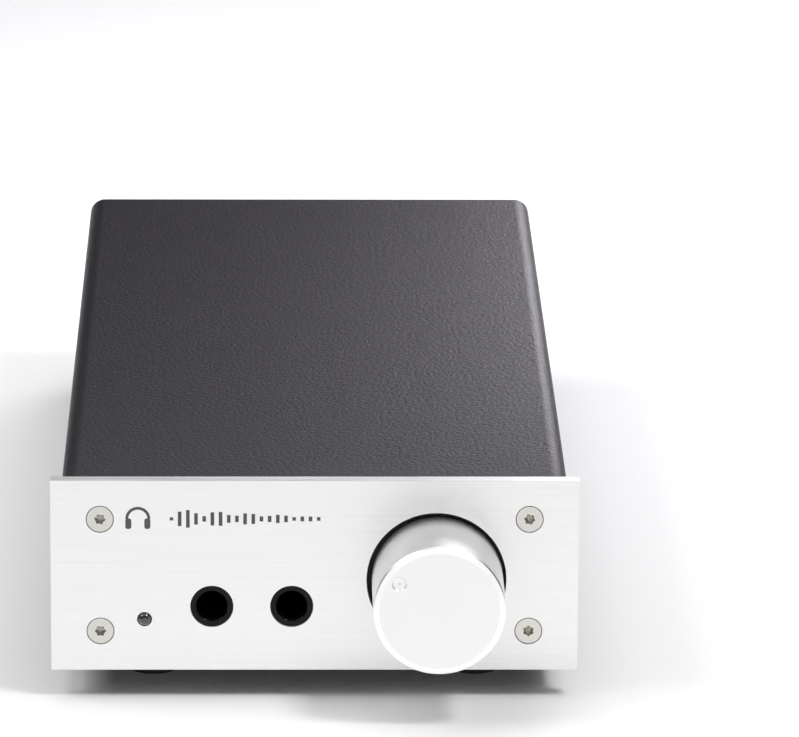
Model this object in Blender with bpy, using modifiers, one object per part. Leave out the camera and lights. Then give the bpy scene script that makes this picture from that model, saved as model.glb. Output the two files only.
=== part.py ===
"""Desktop headphone amplifier.

A thick brushed plate carries one large volume knob, two headphone jacks and a pilot lamp. Behind it a
folded steel cover slides over a steel tray, which holds the circuit board, the mains transformer and the
rear sockets. The frame: +X is to the right seen from the front, -Y is the front, the table is at Z = 0,
and the origin is under the middle of the whole object.
"""
from math import cos, pi, radians, sin, tan

import bmesh
import bpy
from mathutils import Vector

MM = 0.001
GAP = 0.3 * MM                       # clearance between pieces that touch or pass through each other

# Front plate
PANEL_W = 110.0 * MM
PANEL_H = 41.3 * MM
PANEL_T = 3.0 * MM
PANEL_LIFT = 6.0 * MM                # from the table to the plate's lower edge
PLATE_BREAK = 0.25 * MM              # broken edge of the plate

# Case
CASE_W = 106.2 * MM
CASE_H = 38.3 * MM
CASE_L = 240.0 * MM                  # from the plate's back to the rear wall
CASE_LIFT = 7.0 * MM                 # from the table to the case's underside
SHEET = 1.2 * MM                     # steel sheet
COVER_FOLD_R = 3.5 * MM              # outer radius of the long top edges
COVER_LIP = 9.0 * MM                 # flange folded in along the underside
LOWER_FOLD_R = 1.6 * MM
TRAY_FOLD_R = 2.0 * MM
CORNER_CUT = 1.8 * MM                # tray walls' upper corners, clear of the cover's fold
SLEEVE = SHEET + GAP                 # the tray lies this far inside the cover's outer faces

# Where things sit on the plate, X from its middle and Y from its lower edge
SCREW_X = 44.7 * MM
SCREW_LOW_Y = 8.5 * MM
SCREW_HIGH_Y = 32.9 * MM
LAMP_X = -35.5 * MM
LAMP_Y = 11.1 * MM
JACK_X = (-21.45 * MM, -4.78 * MM)
JACK_Y = 13.9 * MM
KNOB_HOLE_X = 25.4 * MM
KNOB_HOLE_Y = 19.65 * MM
KNOB_HOLE_R = 14.6 * MM
KNOB_X = 25.6 * MM                   # the control's axis is a little off the hole's
KNOB_Y = 19.45 * MM

# Volume knob and its control
KNOB_R = 13.7 * MM
KNOB_REACH = 20.7 * MM               # from the plate's face to the knob's face
KNOB_RING = 1.3 * MM                 # width of the bright ring cut round the face
KNOB_RING_DROP = 0.2 * MM            # how far the ring falls away outwards
KNOB_BREAK = 0.25 * MM               # the broken corner outside the ring
KNOB_SINK = 1.5 * MM                 # the knob's back lies this far behind the plate's face
KNOB_RECESS_R = 8.5 * MM
KNOB_RECESS = 5.2 * MM
DIMPLE_R = 1.45 * MM
DIMPLE_DEPTH = 0.6 * MM
DIMPLE_ORBIT = 10.2 * MM
DIMPLE_ANGLE = radians(144.8)        # about ten o'clock
GRUB_R = 1.2 * MM
GRUB_DEPTH = 10.2 * MM               # from the plate's face to the grub screw's axis
GRUB_L = 4.5 * MM
GRUB_SOCKET_R = 0.7 * MM
GRUB_SOCKET_L = 1.5 * MM
SHAFT_R = 3.0 * MM
SHAFT_REACH = 16.7 * MM              # from the plate's face to the shaft's end
SHAFT_INSIDE = 8.8 * MM
BUSH_R = 4.5 * MM
BUSH_REACH = 2.7 * MM
NUT_R = 6.9 * MM
NUT_T = 2.2 * MM
CONTROL_SIDE = 24.0 * MM
CONTROL_L = 22.0 * MM
CONTROL_BREAK = 1.0 * MM

# Fasteners
SHANK_R = 1.4 * MM
SHANK_HOLE_R = 1.75 * MM
SUNK_HEAD_R = 2.65 * MM
SUNK_LAND = 0.2 * MM                 # straight edge round a countersunk head
SINK_R = 2.95 * MM
FRONT_SCREW_L = 6.0 * MM
BUTTON_R = 2.7 * MM
BUTTON_TOP_R = 1.9 * MM
BUTTON_H = 1.5 * MM
BUTTON_LAND = 0.75 * MM              # straight part of a button head's side
BUTTON_DRIVE = 0.9 * MM
DRIVE_R = 1.2 * MM
DRIVE_DEPTH = 1.1 * MM

# Jacks and lamp
JACK_HOLE_R = 4.5 * MM
SNOUT_R = 4.25 * MM
JACK_BORE_R = 3.2 * MM
JACK_SET_BACK = 0.3 * MM             # the snout's end lies this far behind the plate's face
JACK_BODY = (15.6 * MM, 11.0 * MM, 30.0 * MM)
JACK_BORE_L = 31.0 * MM
LAMP_R = 1.4 * MM
LAMP_HOLE_R = 1.7 * MM
LAMP_L = 9.0 * MM
LAMP_PROUD = 0.9 * MM
LAMP_DOME_STEPS = 4

# Rear sockets, X and Y seen from behind, from the middle of the case's lower edge
INLET_X = 28.0 * MM
INLET_FLANGE = (46.0 * MM, 30.0 * MM, 2.5 * MM)
INLET_FLANGE_Y = 18.6 * MM
INLET_BODY = (27.4 * MM, 28.0 * MM, 23.0 * MM)
INLET_WELL = (24.4 * MM, 16.4 * MM, 15.5 * MM)
INLET_WELL_Y = 23.4 * MM
INLET_BREAK = 0.6 * MM
INLET_SCREW_L = 7.0 * MM
WELL_CORNER = 4.0 * MM
PIN = (2.0 * MM, 4.0 * MM, 27.0 * MM)
PIN_SPACING = 7.0 * MM
PIN_OFFSET = 2.0 * MM
PIN_SET_BACK = 1.8 * MM
PIN_BREAK = 0.4 * MM
EARS_X = 19.0 * MM
DRAWER = (22.0 * MM, 6.6 * MM, 18.0 * MM)
DRAWER_Y = 9.2 * MM
DRAWER_PROUD = 0.8 * MM
DRAWER_FLOOR = 0.5 * MM
DRAWER_GRIP = (8.8 * MM, 1.2 * MM, 1.0 * MM)
FUSE_R = 2.5 * MM
FUSE_L = 19.8 * MM
FUSE_DEPTH = 9.0 * MM
PHONO_X = (-10.0 * MM, -30.0 * MM)
PHONO_Y = (11.5 * MM, 26.5 * MM)
PHONO_REACH = 9.3 * MM
PHONO_BARREL_R = 4.15 * MM
PHONO_COLLAR_R = 5.6 * MM
PHONO_COLLAR_T = 1.6 * MM
PHONO_HOLE_R = 1.65 * MM
PHONO_INSIDE = 13.0 * MM

# Underside
FOOT_X = 34.0 * MM
FOOT_INSET = 17.0 * MM
FOOT_R = 6.5 * MM
FOOT_BASE_R = 5.6 * MM
FOOT_TAPER_FROM = 1.5 * MM           # below the case, where the foot begins to narrow
COVER_SCREW_X = 48.6 * MM
COVER_SCREW_INSET = 22.0 * MM
COVER_SCREW_L = 4.6 * MM
GAIN_X = 18.0 * MM
GAIN_Y = 96.0 * MM
GAIN_BODY = (7.8 * MM, 6.2 * MM, 2.4 * MM)
GAIN_WINDOW = (8.8 * MM, 7.2 * MM)
GAIN_SLOT = (1.7 * MM, 3.7 * MM, 1.2 * MM)
GAIN_PITCH = 2.54 * MM
SLIDER = (1.1 * MM, 1.3 * MM, 2.0 * MM)

# Inside
SPACER_H = 2.4 * MM
SPACER_R = 3.0 * MM
SPACER_X = 46.5 * MM
SPACER_Y = (-84.0 * MM, 86.0 * MM)
BOARD_W = 100.0 * MM
BOARD_T = 1.6 * MM
BOARD_FRONT = 4.0 * MM               # from the case's front to the board
BOARD_REAR = 14.5 * MM               # from the board to the case's rear
NOTCH_MARGIN = 2.0 * MM              # from the board to the control and the inlet
INLET_NOTCH_MARGIN = 6.0 * MM
TRANSFORMER_R = 31.0 * MM
TRANSFORMER_H = 27.0 * MM
TRANSFORMER_AT = (-8.0 * MM, 48.0 * MM)
TRANSFORMER_BREAK = 2.0 * MM
CAPACITOR_R = 8.0 * MM
CAPACITOR_H = 25.0 * MM
CAPACITOR_X = (-36.0 * MM, -18.0 * MM, 0.0, 18.0 * MM)
CAPACITOR_Y = 2.0 * MM
CAPACITOR_BREAK = 0.6 * MM
RECTIFIER = (20.0 * MM, 4.0 * MM, 16.0 * MM)
RECTIFIER_AT = (38.0 * MM, 48.0 * MM)
TRANSISTOR = (10.0 * MM, 4.4 * MM, 16.0 * MM)
CHIP = (9.8 * MM, 6.4 * MM, 3.4 * MM)
CHIP_X = 30.0 * MM
SINK_FINS = 6
SINK_PITCH = 4.0 * MM
SINK_FIN_T = 1.3 * MM
SINK_FIN_L = 11.0 * MM
SINK_BASE_T = 2.5 * MM
SINK_H = 24.0 * MM
SINK_X = (-34.0 * MM, -6.0 * MM)
SINK_Y = -44.0 * MM

# Derived places
DEPTH = KNOB_REACH + PANEL_T + CASE_L + PHONO_REACH
FRONT_Y = -DEPTH / 2 + KNOB_REACH
CASE_FRONT = FRONT_Y + PANEL_T + GAP
CASE_BACK = FRONT_Y + PANEL_T + CASE_L
CASE_TOP = CASE_LIFT + CASE_H
TRAY_Z = CASE_LIFT + SLEEVE          # the tray floor's lower face
TRAY_FLOOR = TRAY_Z + SHEET
BOARD_Z = TRAY_FLOOR + SPACER_H + 2 * GAP
BOARD_TOP = BOARD_Z + BOARD_T

FINE_STEPS = 48
ROUND_STEPS = 24
SMALL_STEPS = 14
FOLD_STEPS = 5
OVERCUT = 1.0 * MM
MERGE = 0.01 * MM
SMOOTH_ANGLE = radians(35)


def clear_scene():
    for obj in list(bpy.data.objects):
        bpy.data.objects.remove(obj, do_unlink=True)


def new_collection(name):
    collection = bpy.data.collections.new(name)
    bpy.context.scene.collection.children.link(collection)
    return collection


def finish(name, colour, roughness, metallic):
    """A plain Principled material for one kind of surface."""
    material = bpy.data.materials.new(name)
    material.use_nodes = True
    shader = material.node_tree.nodes["Principled BSDF"]
    shader.inputs["Base Color"].default_value = (*colour, 1.0)
    shader.inputs["Roughness"].default_value = roughness
    shader.inputs["Metallic"].default_value = metallic
    return material


clear_scene()
PARTS = new_collection("headphone_amplifier")
CUTTERS = new_collection("cutters")

BRUSHED = finish("brushed_aluminium", (0.80, 0.80, 0.80), 0.35, 1.0)
TURNED = finish("satin_turned_aluminium", (0.82, 0.82, 0.82), 0.30, 1.0)
POWDER = finish("black_powder_coat", (0.030, 0.029, 0.031), 0.60, 0.0)
STEEL = finish("bright_steel", (0.62, 0.60, 0.58), 0.35, 1.0)
DARK_STEEL = finish("blackened_steel", (0.05, 0.05, 0.05), 0.45, 1.0)
BRASS = finish("nickelled_brass", (0.72, 0.66, 0.52), 0.30, 1.0)
BLACK_PLASTIC = finish("black_plastic", (0.015, 0.015, 0.016), 0.40, 0.0)
WHITE_PLASTIC = finish("white_plastic", (0.80, 0.80, 0.78), 0.45, 0.0)
RUBBER = finish("black_rubber", (0.020, 0.020, 0.020), 0.80, 0.0)
LENS = finish("smoked_lens", (0.08, 0.09, 0.11), 0.15, 0.0)
BOARD = finish("solder_mask", (0.02, 0.16, 0.07), 0.45, 0.0)
CAN = finish("blue_sleeve", (0.04, 0.06, 0.16), 0.40, 0.0)
GLASS = finish("fuse_glass", (0.75, 0.78, 0.78), 0.10, 0.0)


def marker(name, location, rotation):
    """An empty whose local X is right, Y is up and Z comes out of the face it marks."""
    empty = bpy.data.objects.new(name, None)
    empty.location = location
    empty.rotation_euler = rotation
    PARTS.objects.link(empty)
    return empty


FACE = marker("plate_face", (0, FRONT_Y, PANEL_LIFT), (pi / 2, 0, 0))
REAR = marker("rear_face", (0, CASE_BACK, CASE_LIFT), (pi / 2, 0, pi))
UNDER = marker("underside", (0, 0, CASE_LIFT), (pi, 0, 0))
FLOOR = marker("tray_floor", (0, 0, TRAY_FLOOR), (0, 0, 0))
TOP = marker("board_top", (0, 0, BOARD_TOP + GAP), (0, 0, 0))


def place(name, mesh, material, parent, location=(0, 0, 0), rotation=(0, 0, 0)):
    """Put a mesh in the model, or among the cutters when it has no material."""
    obj = bpy.data.objects.new(name, mesh)
    obj.parent = parent
    obj.location = location
    obj.rotation_euler = rotation
    if material:
        PARTS.objects.link(obj)
        mesh.materials.append(material)
    else:
        CUTTERS.objects.link(obj)
        obj.hide_render = True
        obj.display_type = "WIRE"
    return obj


def box(name, size, material, parent, location=(0, 0, 0), rotation=(0, 0, 0)):
    mesh = bpy.data.meshes.new(name)
    shape = bmesh.new()
    bmesh.ops.create_cube(shape, size=1.0)
    bmesh.ops.scale(shape, vec=size, verts=shape.verts)
    shape.to_mesh(mesh)
    shape.free()
    return place(name, mesh, material, parent, location, rotation)


def prism(name, sides, radius, height, material, parent, location=(0, 0, 0), rotation=(0, 0, 0)):
    """A regular prism or cylinder about local Z, centred on its location."""
    mesh = bpy.data.meshes.new(name)
    shape = bmesh.new()
    bmesh.ops.create_cone(shape, cap_ends=True, segments=sides, radius1=radius, radius2=radius, depth=height)
    shape.to_mesh(mesh)
    shape.free()
    return place(name, mesh, material, parent, location, rotation)


def turned(name, profile, steps, material, parent, location=(0, 0, 0), rotation=(0, 0, 0), ring=False):
    """Turn (radius, height) points about local Z. They run from the top down the outer side."""
    mesh = bpy.data.meshes.new(name)
    edges = [(i, i + 1) for i in range(len(profile) - 1)]
    if ring:
        edges.append((len(profile) - 1, 0))
    mesh.from_pydata([(radius, 0, height) for radius, height in profile], edges, [])
    obj = place(name, mesh, material, parent, location, rotation)
    screw = obj.modifiers.new("turn", "SCREW")
    screw.steps = steps
    screw.render_steps = steps
    screw.use_merge_vertices = True
    screw.merge_threshold = MERGE
    return obj


def cut(obj, *cutters):
    for cutter in cutters:
        boolean = obj.modifiers.new("cut", "BOOLEAN")
        boolean.solver = "EXACT"
        boolean.operation = "DIFFERENCE"
        boolean.object = cutter


def join(obj, *pieces):
    """Weld extra blocks, made as cutters, onto a piece."""
    for piece in pieces:
        boolean = obj.modifiers.new("join", "BOOLEAN")
        boolean.solver = "EXACT"
        boolean.operation = "UNION"
        boolean.object = piece


def soften(obj, width, segments=1):
    bevel = obj.modifiers.new("soften", "BEVEL")
    bevel.width = width
    bevel.segments = segments


def filleted(corners, radii):
    """An open 2D path whose inner corners are rounded, each to its own radius."""
    path = [Vector(corners[0])]
    for before, corner, after, radius in zip(corners, corners[1:], corners[2:], radii):
        corner = Vector(corner)
        back = (Vector(before) - corner).normalized()
        ahead = (Vector(after) - corner).normalized()
        half = back.angle(ahead) / 2
        centre = corner + (back + ahead).normalized() * (radius / sin(half))
        start = corner + back * (radius / tan(half)) - centre
        end = corner + ahead * (radius / tan(half)) - centre
        for step in range(FOLD_STEPS + 1):
            path.append(centre + start.slerp(end, step / FOLD_STEPS) * radius)
    path.append(Vector(corners[-1]))
    return path


def folded_sheet(name, path, width, material, rotation=(0, 0, 0)):
    """Steel sheet bent along a path in local X and Z, as wide as it is along local Y."""
    mesh = bpy.data.meshes.new(name)
    shape = bmesh.new()
    near = [shape.verts.new((point.x, -width / 2, point.y)) for point in path]
    for first, second in zip(near, near[1:]):
        shape.edges.new((first, second))
    swept = bmesh.ops.extrude_edge_only(shape, edges=shape.edges[:])["geom"]
    far = [item for item in swept if isinstance(item, bmesh.types.BMVert)]
    bmesh.ops.translate(shape, vec=(0, width, 0), verts=far)
    shape.to_mesh(mesh)
    shape.free()
    sheet = place(name, mesh, material, None, (0, 0, 0), rotation)
    solidify = sheet.modifiers.new("sheet", "SOLIDIFY")
    solidify.thickness = SHEET
    solidify.offset = 0.0
    solidify.use_even_offset = True
    return sheet


def drive_recess(name, parent, location, depth=DRIVE_DEPTH):
    """The hexagonal socket that a driver turns."""
    x, y, z = location
    return prism(name, 6, DRIVE_R, depth + OVERCUT, None, parent, (x, y, z + (OVERCUT - depth) / 2))


def sunk_screw(name, parent, location, length):
    """A countersunk machine screw, its flat head level with the face that it sits in."""
    profile = [
        (0, 0),
        (SUNK_HEAD_R, 0),
        (SUNK_HEAD_R, -SUNK_LAND),
        (SHANK_R, SHANK_R - SUNK_HEAD_R - SUNK_LAND),
        (SHANK_R, -length),
        (0, -length),
    ]
    screw = turned(name, profile, ROUND_STEPS, STEEL, parent, location)
    cut(screw, drive_recess(name + "_socket", parent, location))


def button_screw(name, parent, location, length, material=STEEL):
    """A low-headed machine screw, placed by the underside of its head."""
    profile = [
        (0, BUTTON_H),
        (BUTTON_TOP_R, BUTTON_H),
        (BUTTON_R, BUTTON_LAND),
        (BUTTON_R, 0),
        (SHANK_R, 0),
        (SHANK_R, -length),
        (0, -length),
    ]
    screw = turned(name, profile, SMALL_STEPS, material, parent, location)
    x, y, z = location
    cut(screw, drive_recess(name + "_socket", parent, (x, y, z + BUTTON_H), BUTTON_DRIVE))


def hole(name, radius, depth, parent, location, steps=ROUND_STEPS):
    """A round cutter that starts above the face and goes down to a depth."""
    x, y, z = location
    return prism(name, steps, radius, depth + OVERCUT, None, parent, (x, y, z + (OVERCUT - depth) / 2))


# ---- front plate -------------------------------------------------------------------------------------

def screw_places():
    for side, x in (("left", -SCREW_X), ("right", SCREW_X)):
        for level, y in (("lower", SCREW_LOW_Y), ("upper", SCREW_HIGH_Y)):
            yield f"{level}_{side}", x, y


def make_front_plate():
    plate = box("front_panel", (PANEL_W, PANEL_H, PANEL_T), BRUSHED, FACE, (0, PANEL_H / 2, -PANEL_T / 2))
    soften(plate, PLATE_BREAK)
    through = PANEL_T + OVERCUT
    sink = [
        (0, OVERCUT),
        (SINK_R, OVERCUT),
        (SINK_R, 0),
        (SHANK_HOLE_R, SHANK_HOLE_R - SINK_R),
        (SHANK_HOLE_R, -through),
        (0, -through),
    ]
    for where, x, y in screw_places():
        cut(plate, turned("sink_" + where, sink, ROUND_STEPS, None, FACE, (x, y, 0)))
        sunk_screw("front_screw_" + where, FACE, (x, y, 0), FRONT_SCREW_L)
    cut(plate, hole("knob_hole", KNOB_HOLE_R, through, FACE, (KNOB_HOLE_X, KNOB_HOLE_Y, 0), FINE_STEPS))
    cut(plate, hole("lamp_hole", LAMP_HOLE_R, through, FACE, (LAMP_X, LAMP_Y, 0)))
    for index, x in enumerate(JACK_X):
        cut(plate, hole(f"jack_hole_{index}", JACK_HOLE_R, through, FACE, (x, JACK_Y, 0)))


# ---- folded case -------------------------------------------------------------------------------------

def make_cover():
    """One sheet folded over the top and sides, with a lip turned in under each side."""
    middle = SHEET / 2
    side = CASE_W / 2 - middle
    low = CASE_LIFT + middle
    high = CASE_TOP - middle
    lip = CASE_W / 2 - COVER_LIP
    corners = [(-lip, low), (-side, low), (-side, high), (side, high), (side, low), (lip, low)]
    top_r = COVER_FOLD_R - middle
    low_r = LOWER_FOLD_R - middle
    path = filleted(corners, [low_r, top_r, top_r, low_r])
    cover = folded_sheet("top_cover", path, CASE_BACK - CASE_FRONT, POWDER)
    cover.location.y = (CASE_BACK + CASE_FRONT) / 2
    for name, x, y in cover_screw_places():
        cut(cover, hole("lip_" + name, SHANK_HOLE_R, SHEET + GAP / 2, UNDER, (x, y, 0), SMALL_STEPS))


def make_tray():
    """The lower sheet, with its front and rear walls folded up from the floor."""
    middle = SHEET / 2
    half = (CASE_BACK - CASE_FRONT) / 2 - middle
    low = TRAY_Z + middle
    high = CASE_TOP - SLEEVE
    path = filleted([(-half, high), (-half, low), (half, low), (half, high)], [TRAY_FOLD_R - middle] * 2)
    width = CASE_W - 2 * SLEEVE
    tray = folded_sheet("chassis_tray", path, width, DARK_STEEL, (0, 0, pi / 2))
    tray.location.y = (CASE_BACK + CASE_FRONT) / 2
    length = CASE_BACK - CASE_FRONT + 2 * OVERCUT
    for side in (-1, 1):
        corner = (side * width / 2, tray.location.y, high)
        diagonal = CORNER_CUT * 2 ** 0.5
        cut(tray, box("corner_cut", (diagonal, length, diagonal), None, None, corner, (0, pi / 4, 0)))
    front = -PANEL_T - GAP
    through = SHEET + OVERCUT
    for where, x, y in screw_places():
        cut(tray, hole("wall_" + where, SHANK_HOLE_R, through, FACE, (x, y, front), SMALL_STEPS))
    for index, x in enumerate(JACK_X):
        cut(tray, hole(f"wall_jack_{index}", SNOUT_R + GAP, through, FACE, (x, JACK_Y, front)))
    cut(tray, hole("wall_lamp", LAMP_HOLE_R, through, FACE, (LAMP_X, LAMP_Y, front), SMALL_STEPS))
    cut(tray, hole("wall_bush", BUSH_R + GAP, through, FACE, (KNOB_X, KNOB_Y, front)))
    body_w, body_h, _ = INLET_BODY
    window = (body_w + 2 * GAP, body_h + 2 * GAP, 4 * SHEET)
    cut(tray, box("inlet_window", window, None, REAR, (INLET_X, INLET_FLANGE_Y, 0)))
    for index, side in enumerate((-1, 1)):
        at = (INLET_X + side * EARS_X, INLET_FLANGE_Y, 0)
        cut(tray, hole(f"wall_ear_{index}", SHANK_HOLE_R, through, REAR, at, SMALL_STEPS))
    for name, x, y in phono_places():
        cut(tray, hole("wall_" + name, PHONO_BARREL_R + GAP, through, REAR, (x, y, 0)))
    for name, x, y in cover_screw_places():
        cut(tray, hole("floor_" + name, SHANK_HOLE_R, through, UNDER, (x, y, -SLEEVE), SMALL_STEPS))
    gain = (*GAIN_WINDOW, 3 * SHEET)
    cut(tray, box("gain_window", gain, None, None, (GAIN_X, GAIN_Y, TRAY_Z + SHEET / 2)))


# ---- underside ---------------------------------------------------------------------------------------

def corner_places(x, inset):
    """Four places on the underside, in the marker's own X and Y."""
    for end, y in (("front", -(CASE_FRONT + inset)), ("rear", -(CASE_BACK - inset))):
        for side, across in (("left", -x), ("right", x)):
            yield f"{end}_{side}", across, y


def cover_screw_places():
    for where, x, y in corner_places(COVER_SCREW_X, COVER_SCREW_INSET):
        yield "cover_screw_" + where, x, y


def make_underside():
    for name, x, y in cover_screw_places():
        button_screw(name, UNDER, (x, y, GAP), COVER_SCREW_L, DARK_STEEL)
    foot = [
        (0, CASE_LIFT),
        (FOOT_BASE_R, CASE_LIFT),
        (FOOT_R, FOOT_TAPER_FROM),
        (FOOT_R, GAP - SLEEVE),
        (0, GAP - SLEEVE),
    ]
    for where, x, y in corner_places(FOOT_X, FOOT_INSET):
        turned("foot_" + where, foot, ROUND_STEPS, RUBBER, UNDER, (x, y, 0))


# ---- volume control ----------------------------------------------------------------------------------

def make_knob():
    """A solid turned knob with a recessed back, a blind bore and a drilled pointer mark."""
    axis = marker("volume_axis", (KNOB_X, FRONT_Y, PANEL_LIFT + KNOB_Y), (pi / 2, 0, 0))
    bore_r = SHAFT_R + GAP
    bore_top = SHAFT_REACH + GAP
    recess_top = KNOB_RECESS - KNOB_SINK
    profile = [
        (0, KNOB_REACH),
        (KNOB_R - KNOB_RING, KNOB_REACH),
        (KNOB_R - KNOB_BREAK, KNOB_REACH - KNOB_RING_DROP),
        (KNOB_R, KNOB_REACH - KNOB_RING_DROP - KNOB_BREAK),
        (KNOB_R, -KNOB_SINK),
        (KNOB_RECESS_R, -KNOB_SINK),
        (KNOB_RECESS_R, recess_top),
        (bore_r, recess_top),
        (bore_r, bore_top),
        (0, bore_top),
    ]
    knob = turned("volume_knob", profile, FINE_STEPS, TURNED, axis)
    dimple = [(0, OVERCUT), (DIMPLE_R, OVERCUT), (DIMPLE_R, 0), (0, -DIMPLE_DEPTH)]
    at = (DIMPLE_ORBIT * cos(DIMPLE_ANGLE), DIMPLE_ORBIT * sin(DIMPLE_ANGLE), KNOB_REACH)
    cut(knob, turned("pointer_cone", dimple, SMALL_STEPS, None, axis, at))
    away = DIMPLE_ANGLE + pi
    outward = Vector((cos(away), sin(away), 0))
    turn = outward.to_track_quat("Z", "Y").to_euler()
    height = Vector((0, 0, GRUB_DEPTH))
    reach = KNOB_R + OVERCUT
    centre = outward * (bore_r / 2 + reach / 2) + height
    cut(knob, prism("grub_hole", SMALL_STEPS, GRUB_R + GAP, reach, None, axis, centre, turn))
    seat = outward * (bore_r + GRUB_L / 2) + height
    grub = prism("knob_grub_screw", SMALL_STEPS, GRUB_R, GRUB_L, DARK_STEEL, axis, seat, turn)
    socket = outward * (bore_r + GRUB_L) + height
    cut(grub, prism("grub_socket", 6, GRUB_SOCKET_R, 2 * GRUB_SOCKET_L, None, axis, socket, turn))
    span = SHAFT_REACH + SHAFT_INSIDE
    middle = (0, 0, SHAFT_REACH - span / 2)
    prism("control_shaft", SMALL_STEPS, SHAFT_R, span, BRASS, axis, middle)


def make_control():
    """The control itself: a square body behind the tray's wall, held by a bush and a nut."""
    wall = -PANEL_T - GAP
    behind = wall - SHEET - GAP
    bush = [
        (SHAFT_R + GAP, BUSH_REACH),
        (BUSH_R, BUSH_REACH),
        (BUSH_R, behind),
        (SHAFT_R + GAP, behind),
    ]
    at = (KNOB_X, KNOB_Y, 0)
    turned("control_bush", bush, ROUND_STEPS, BRASS, FACE, at, ring=True)
    nut_at = (KNOB_X, KNOB_Y, wall + GAP + NUT_T / 2)
    nut = prism("control_nut", 6, NUT_R, NUT_T, BRASS, FACE, nut_at)
    cut(nut, prism("nut_bore", ROUND_STEPS, BUSH_R + GAP, 2 * NUT_T, None, FACE, nut_at))
    back = behind - GAP
    size = (CONTROL_SIDE, CONTROL_SIDE, CONTROL_L)
    body = box("volume_control", size, DARK_STEEL, FACE, (KNOB_X, KNOB_Y, back - CONTROL_L / 2))
    soften(body, CONTROL_BREAK)
    cut(body, hole("control_bore", SHAFT_R + GAP, SHAFT_INSIDE + back + GAP, FACE, (KNOB_X, KNOB_Y, back)))


# ---- jacks and pilot lamp ----------------------------------------------------------------------------

def make_jacks():
    wall_back = -PANEL_T - GAP - SHEET - GAP
    width, height, length = JACK_BODY
    for side, x in zip(("left", "right"), JACK_X):
        at = (x, JACK_Y, wall_back - length / 2)
        name = "headphone_jack_" + side
        body = box(name, JACK_BODY, BLACK_PLASTIC, FACE, at)
        snout_l = -JACK_SET_BACK - wall_back + OVERCUT
        snout_at = (x, JACK_Y, -JACK_SET_BACK - snout_l / 2)
        join(body, prism(name + "_snout", ROUND_STEPS, SNOUT_R, snout_l, None, FACE, snout_at))
        cut(body, hole(name + "_bore", JACK_BORE_R, JACK_BORE_L, FACE, (x, JACK_Y, 0)))


def make_lamp():
    dome = []
    for step in range(LAMP_DOME_STEPS + 1):
        angle = step / LAMP_DOME_STEPS * pi / 2
        dome.append((LAMP_R * sin(angle), LAMP_PROUD - LAMP_R * (1 - cos(angle))))
    profile = dome + [(LAMP_R, LAMP_PROUD - LAMP_L), (0, LAMP_PROUD - LAMP_L)]
    turned("pilot_lamp", profile, SMALL_STEPS, LENS, FACE, (LAMP_X, LAMP_Y, 0))


# ---- rear sockets ------------------------------------------------------------------------------------

def phono_places():
    for pair, x in zip(("input", "loop"), PHONO_X):
        for channel, y in zip(("right", "left"), PHONO_Y):
            yield f"phono_{pair}_{channel}", x, y


def make_phono_sockets():
    for name, x, y in phono_places():
        profile = [
            (0, GAP),
            (PHONO_HOLE_R, GAP),
            (PHONO_HOLE_R, PHONO_REACH),
            (PHONO_BARREL_R, PHONO_REACH),
            (PHONO_BARREL_R, GAP + PHONO_COLLAR_T),
            (PHONO_COLLAR_R, GAP + PHONO_COLLAR_T),
            (PHONO_COLLAR_R, GAP),
            (PHONO_BARREL_R, GAP),
            (PHONO_BARREL_R, -PHONO_INSIDE),
            (0, -PHONO_INSIDE),
        ]
        turned(name, profile, ROUND_STEPS, BRASS, REAR, (x, y, 0))


def make_mains_inlet():
    """A moulded inlet with a keyed well, three pins, and a drawer for the fuse below."""
    flange_w, flange_h, flange_t = INLET_FLANGE
    flange_at = (INLET_X, INLET_FLANGE_Y, GAP + flange_t / 2)
    inlet = box("mains_inlet", INLET_FLANGE, BLACK_PLASTIC, REAR, flange_at)
    soften(inlet, INLET_BREAK)
    face = GAP + flange_t
    body_w, body_h, body_l = INLET_BODY
    size = (body_w, body_h, body_l + flange_t)
    body_at = (INLET_X, INLET_FLANGE_Y, GAP / 2 + flange_t - size[2] / 2)
    join(inlet, box("inlet_body", size, None, REAR, body_at))
    well_w, well_h, well_l = INLET_WELL
    size = (well_w, well_h, well_l + OVERCUT)
    well_at = (INLET_X, INLET_WELL_Y, face + (OVERCUT - well_l) / 2)
    well = box("inlet_well", size, None, REAR, well_at)
    for index, side in enumerate((-1, 1)):
        corner = (INLET_X + side * well_w / 2, INLET_WELL_Y + well_h / 2, well_at[2])
        key_size = (WELL_CORNER * 2 ** 0.5, WELL_CORNER * 2 ** 0.5, 2 * well_l)
        cut(well, box(f"well_key_{index}", key_size, None, REAR, corner, (0, 0, pi / 4)))
    cut(inlet, well)
    pin_w, pin_h, pin_l = PIN
    pins = (("live", -1, -1), ("earth", 0, 1), ("neutral", 1, -1))
    for name, across, up in pins:
        x = INLET_X + across * PIN_SPACING
        y = INLET_WELL_Y + up * PIN_OFFSET
        z = face - PIN_SET_BACK - pin_l / 2
        pin = box("inlet_pin_" + name, PIN, BRASS, REAR, (x, y, z))
        soften(pin, PIN_BREAK)
        passage = (pin_w + 2 * GAP, pin_h + 2 * GAP, 2 * pin_l)
        cut(inlet, box("pin_way_" + name, passage, None, REAR, (x, y, face - well_l - pin_l)))
    for side, x in (("left", INLET_X - EARS_X), ("right", INLET_X + EARS_X)):
        ear = hole("ear_" + side, SHANK_HOLE_R, 2 * flange_t, REAR, (x, INLET_FLANGE_Y, face), SMALL_STEPS)
        cut(inlet, ear)
        button_screw("inlet_screw_" + side, REAR, (x, INLET_FLANGE_Y, face + GAP), INLET_SCREW_L)
    drawer_w, drawer_h, drawer_l = DRAWER
    slot = (drawer_w + 2 * GAP, drawer_h + 2 * GAP, drawer_l + GAP + OVERCUT)
    slot_at = (INLET_X, DRAWER_Y, face + OVERCUT - slot[2] / 2)
    cut(inlet, box("drawer_slot", slot, None, REAR, slot_at))


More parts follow.
